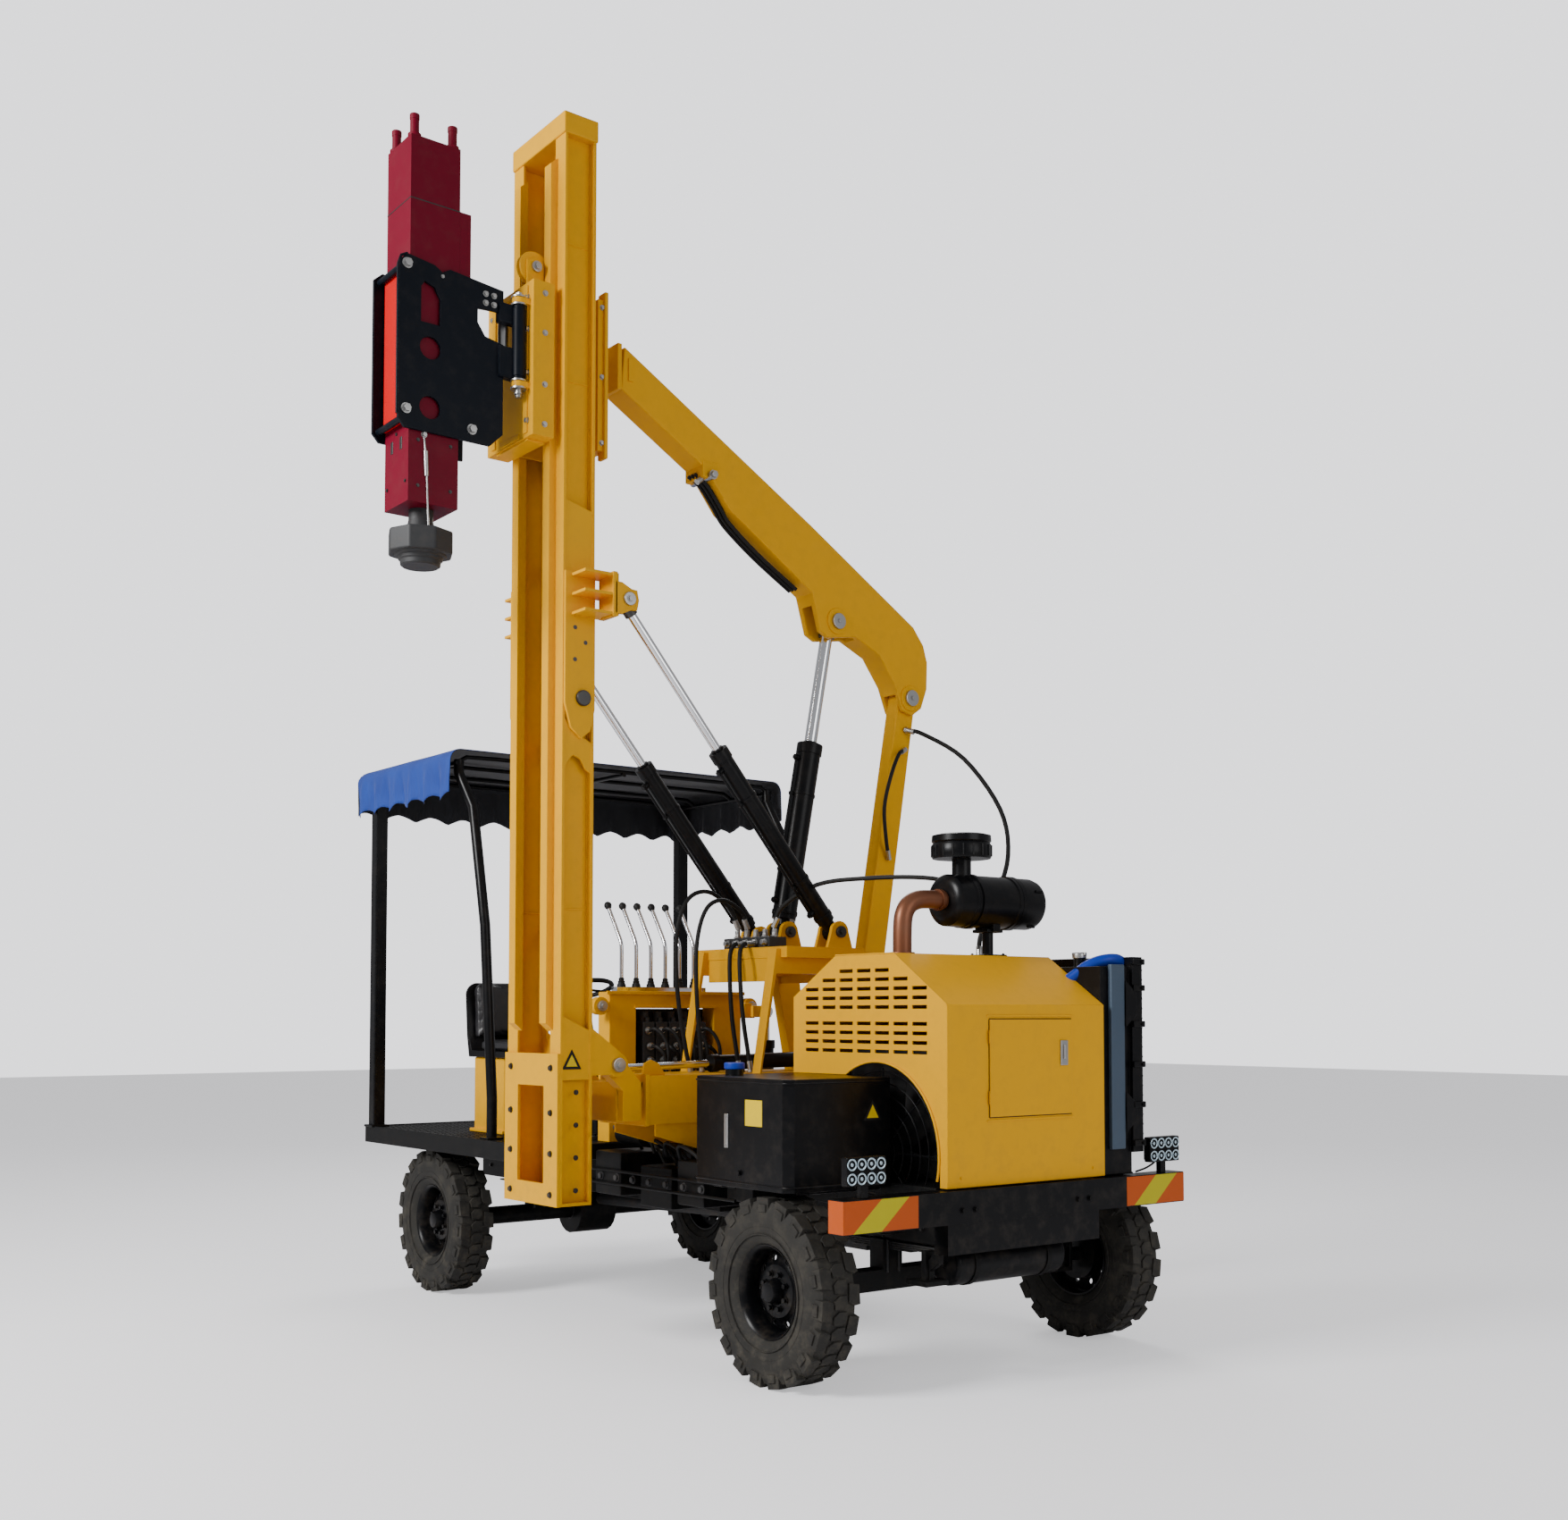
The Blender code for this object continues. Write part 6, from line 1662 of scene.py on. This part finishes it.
# %% Canopy bows
bows = []
for x in (-2.97, -3.40, -3.85, -4.18):
    bows.append(pipe([at(x, -1.16, top_z - 0.075), at(x, -1.10, top_z - 0.040), at(x, -0.9, top_z - 0.035),
        at(x, 0.9, top_z - 0.035), at(x, 1.10, top_z - 0.040), at(x, 1.16, top_z - 0.075)], 0.014, 5,
        smooth=False))
for y in (-1.165, 0.0, 1.165):
    bows.append(round_bar(at(-4.20, y, top_z - 0.080 if y else top_z - 0.052),
        at(-2.95, y, top_z - 0.080 if y else top_z - 0.052), 0.014, 16))
dress(together(bows), "chassis", black, "canopy_bows")
feet = []
for s in (-1, 1):
    feet.append(block(at(-4.09, s * 1.17 - 0.06, 0.9655),
        at(-3.97, s * 1.17 + 0.06 * (1 if s < 0 else 0.6), 0.980), 0.003))
    feet.append(block(at(-2.63, s * 1.12 - 0.05, 0.9655), at(-2.53, s * 1.12 + 0.05, 0.980), 0.003))
dress(together(feet), "chassis", black, "post_feet")

# %% [markdown]
# ## Under the frame
# Leaf springs, tie rod, steering cylinder, differential, exhaust and the boxes with their lines
# that hang below the slide beam.

# %% Running gear
gear = []
for end_x in (0.0, -3.38):
    for s in (-1, 1):
        for k in range(4):
            length = 0.42 - 0.07 * k
            gear.append(block(at(end_x - length, s * 0.38 - 0.03, 0.600 - 0.010 * k),
                at(end_x + length, s * 0.38 + 0.03, 0.6085 - 0.010 * k), 0.002))
        for dx in (-0.05, 0.05):
            gear.append(pipe([at(end_x + dx, s * 0.38 - 0.036, 0.46),
                at(end_x + dx, s * 0.38 - 0.036, 0.60), at(end_x + dx, s * 0.38 - 0.036, 0.612),
                at(end_x + dx, s * 0.38 + 0.036, 0.612), at(end_x + dx, s * 0.38 + 0.036, 0.46)], 0.007, 4,
                smooth=False))
dress(together(gear), "chassis", iron, "leaf_springs")
steer = [round_bar(at(-0.16, -0.66, 0.40), at(-0.16, 0.66, 0.40), 0.016, 20),
    round_bar(at(0.14, -0.05, 0.44), at(0.14, 0.45, 0.44), 0.028, 24, edge=0.003),
    round_bar(at(0.14, 0.44, 0.44), at(0.14, 0.62, 0.44), 0.012, 16)]
dress(together(steer), "chassis", dark_steel, "tie_rod_and_steering_cylinder")
diff = [turned([(-0.14, 0.0001), (-0.14, 0.04), (-0.11, 0.10), (-0.05, 0.145), (0.05, 0.145), (0.11, 0.10),
    (0.14, 0.04), (0.14, 0.0001)], at(-3.38, 0, 0.4275), "Y", 40)]
for k in range(10):
    a = math.tau * k / 10
    diff.append(nut(at(-3.38 - 0.145 * 0.9, 0.10 * math.cos(a), 0.4275 + 0.10 * math.sin(a)),
        (-1, 0, 0), 0.015, 0.012))
dress(together(diff), "chassis", iron, "differential")

# %% Boxes, brackets and lines below the slide beam
under = [block(at(-1.92, -0.83, 0.70), at(-1.66, -0.50, 0.935), 0.012),
    block(at(-1.54, -0.78, 0.66), at(-1.24, -0.49, 0.875), 0.010),
    block(at(-1.16, -0.80, 0.70), at(-0.92, -0.49, 0.93), 0.010),
    block(at(-0.86, -0.70, 0.74), at(-0.64, -0.49, 0.96), 0.010),
    round_bar(at(-1.90, -0.66, 1.02), at(-1.66, -0.66, 1.02), 0.060, 28, edge=0.006),
    round_bar(at(-1.50, -0.62, 0.94), at(-1.22, -0.62, 0.94), 0.050, 28, edge=0.006)]
for x in (-1.95, -1.60, -1.19, -0.89):
    under.append(block(at(x, -0.52, 0.64), at(x + 0.02, -0.40, 0.89), 0.003))
for x0, x1, z in ((-1.95, -0.62, 0.765), (-1.95, -0.62, 0.835)):
    under.append(round_bar(at(x0, -0.845, z), at(x1, -0.82, z), 0.008, 12))
dress(together(under), "chassis", chassis_black, "side_boxes_and_valves")
lines = []
for k in range(4):
    y = -0.60 - 0.05 * k
    lines.append(pipe([at(-1.80 + 0.2 * k, y, 0.93), at(-1.78 + 0.2 * k, y - 0.03, 0.99),
        at(-1.70 + 0.2 * k, y - 0.05, 1.0), at(-1.60 + 0.2 * k, y - 0.03, 0.95),
        at(-1.56 + 0.2 * k, y, 0.86)], 0.010, 4))
lines.append(pipe([at(-0.9, -0.75, 0.93), at(-0.80, -0.80, 0.97), at(-0.66, -0.80, 0.93),
    at(-0.62, -0.72, 0.83)], 0.012, 4))
dress(together(lines), "chassis", rubber, "side_lines")
caps = [nut(at(-1.85 + 0.16 * k, -0.83, 0.80), (0, -1, 0), 0.03, 0.018) for k in range(7)]
caps += [round_bar(at(-1.80, -0.66, 1.08), at(-1.80, -0.66, 1.11), 0.02, 16, edge=0.002)]
dress(together(caps), "chassis", iron, "side_box_bolts")
rail_bolts = []
for s in (-1, 1):
    for k in range(11):
        rail_bolts.append(nut(at(-3.9 + 0.42 * k, s * 0.42, 0.69), (0, s, 0), 0.018, 0.012))
dress(together(rail_bolts), "chassis", dark_steel, "frame_rail_bolts")
exhaust = [pipe([at(-0.40, 0.30, 0.86), at(-0.55, 0.40, 0.80), at(-0.70, 0.62, 0.76), at(-0.95, 0.72, 0.72),
    at(-1.30, 0.74, 0.70)], 0.028, 6)]
dress(together(exhaust), "chassis", copper, "exhaust_pipe")
hook_line = [at(-2.05, -1.16, 0.98), at(-2.06, -1.165, 1.08), at(-2.08, -1.17, 1.13),
    at(-2.13, -1.17, 1.15), at(-2.17, -1.17, 1.12), at(-2.17, -1.17, 1.06)]
dress(pipe(hook_line, 0.018, 5), "chassis", black, "deck_hook")

# %% [markdown]
# ## Floor and light
# A pale floor and three large soft lights, as in a product studio. The floor and the background
# are brighter for the camera than for the machine, so they look pale and cast no extra light.

# %% Floor, world and lights
bpy.ops.mesh.primitive_plane_add(size=80, location=(0, 0, 0))
floor = bpy.context.object
floor.name = "studio_floor"
floor_material = bpy.data.materials.new("studio floor")
floor_material.use_nodes = True
floor_shader = floor_material.node_tree.nodes["Principled BSDF"]
floor_shader.inputs["Base Color"].default_value = (0.86, 0.85, 0.87, 1)
floor_shader.inputs["Roughness"].default_value = 0.7
floor_shader.inputs["Emission Color"].default_value = (0.95, 0.95, 0.97, 1)
floor_nodes = floor_material.node_tree.nodes
floor_sight = floor_nodes.new("ShaderNodeLightPath")
floor_glow = floor_nodes.new("ShaderNodeMath")
floor_glow.operation = "MULTIPLY"
floor_glow.inputs[1].default_value = 0.55
floor_material.node_tree.links.new(floor_sight.outputs["Is Camera Ray"], floor_glow.inputs[0])
floor_material.node_tree.links.new(floor_glow.outputs["Value"], floor_shader.inputs["Emission Strength"])
floor.data.materials.append(floor_material)
world = bpy.data.worlds.new("studio")
world.use_nodes = True
world.node_tree.nodes["Background"].inputs["Color"].default_value = (0.97, 0.97, 1.0, 1)
world_nodes = world.node_tree.nodes
seen_ray = world_nodes.new("ShaderNodeLightPath")
brightness = world_nodes.new("ShaderNodeMix")
brightness.inputs["A"].default_value = 0.40
brightness.inputs["B"].default_value = 1.9
world.node_tree.links.new(seen_ray.outputs["Is Camera Ray"], brightness.inputs["Factor"])
world.node_tree.links.new(brightness.outputs["Result"], world_nodes["Background"].inputs["Strength"])
bpy.context.scene.world = world


def area_light(name, place, target, size, power):
    """A square soft light aimed at a point."""
    data = bpy.data.lights.new(name, "AREA")
    data.size = size
    data.energy = power
    lamp = bpy.data.objects.new(name, data)
    bpy.context.scene.collection.objects.link(lamp)
    lamp.location = place
    lamp.rotation_mode = "QUATERNION"
    lamp.rotation_quaternion = (Vector(target) - Vector(place)).to_track_quat("-Z", "Y")
    return lamp


area_light("key", at(-1.5, -10.0, 7.0), at(-1, -0.5, 2.5), 3.5, 1350)
area_light("front fill", at(8.0, 1.0, 4.5), at(-1, 0, 2), 5.0, 200)
area_light("rear rim", at(-8.0, 5.0, 8.0), at(-1, 0, 3), 4.0, 300)
print("lights set")
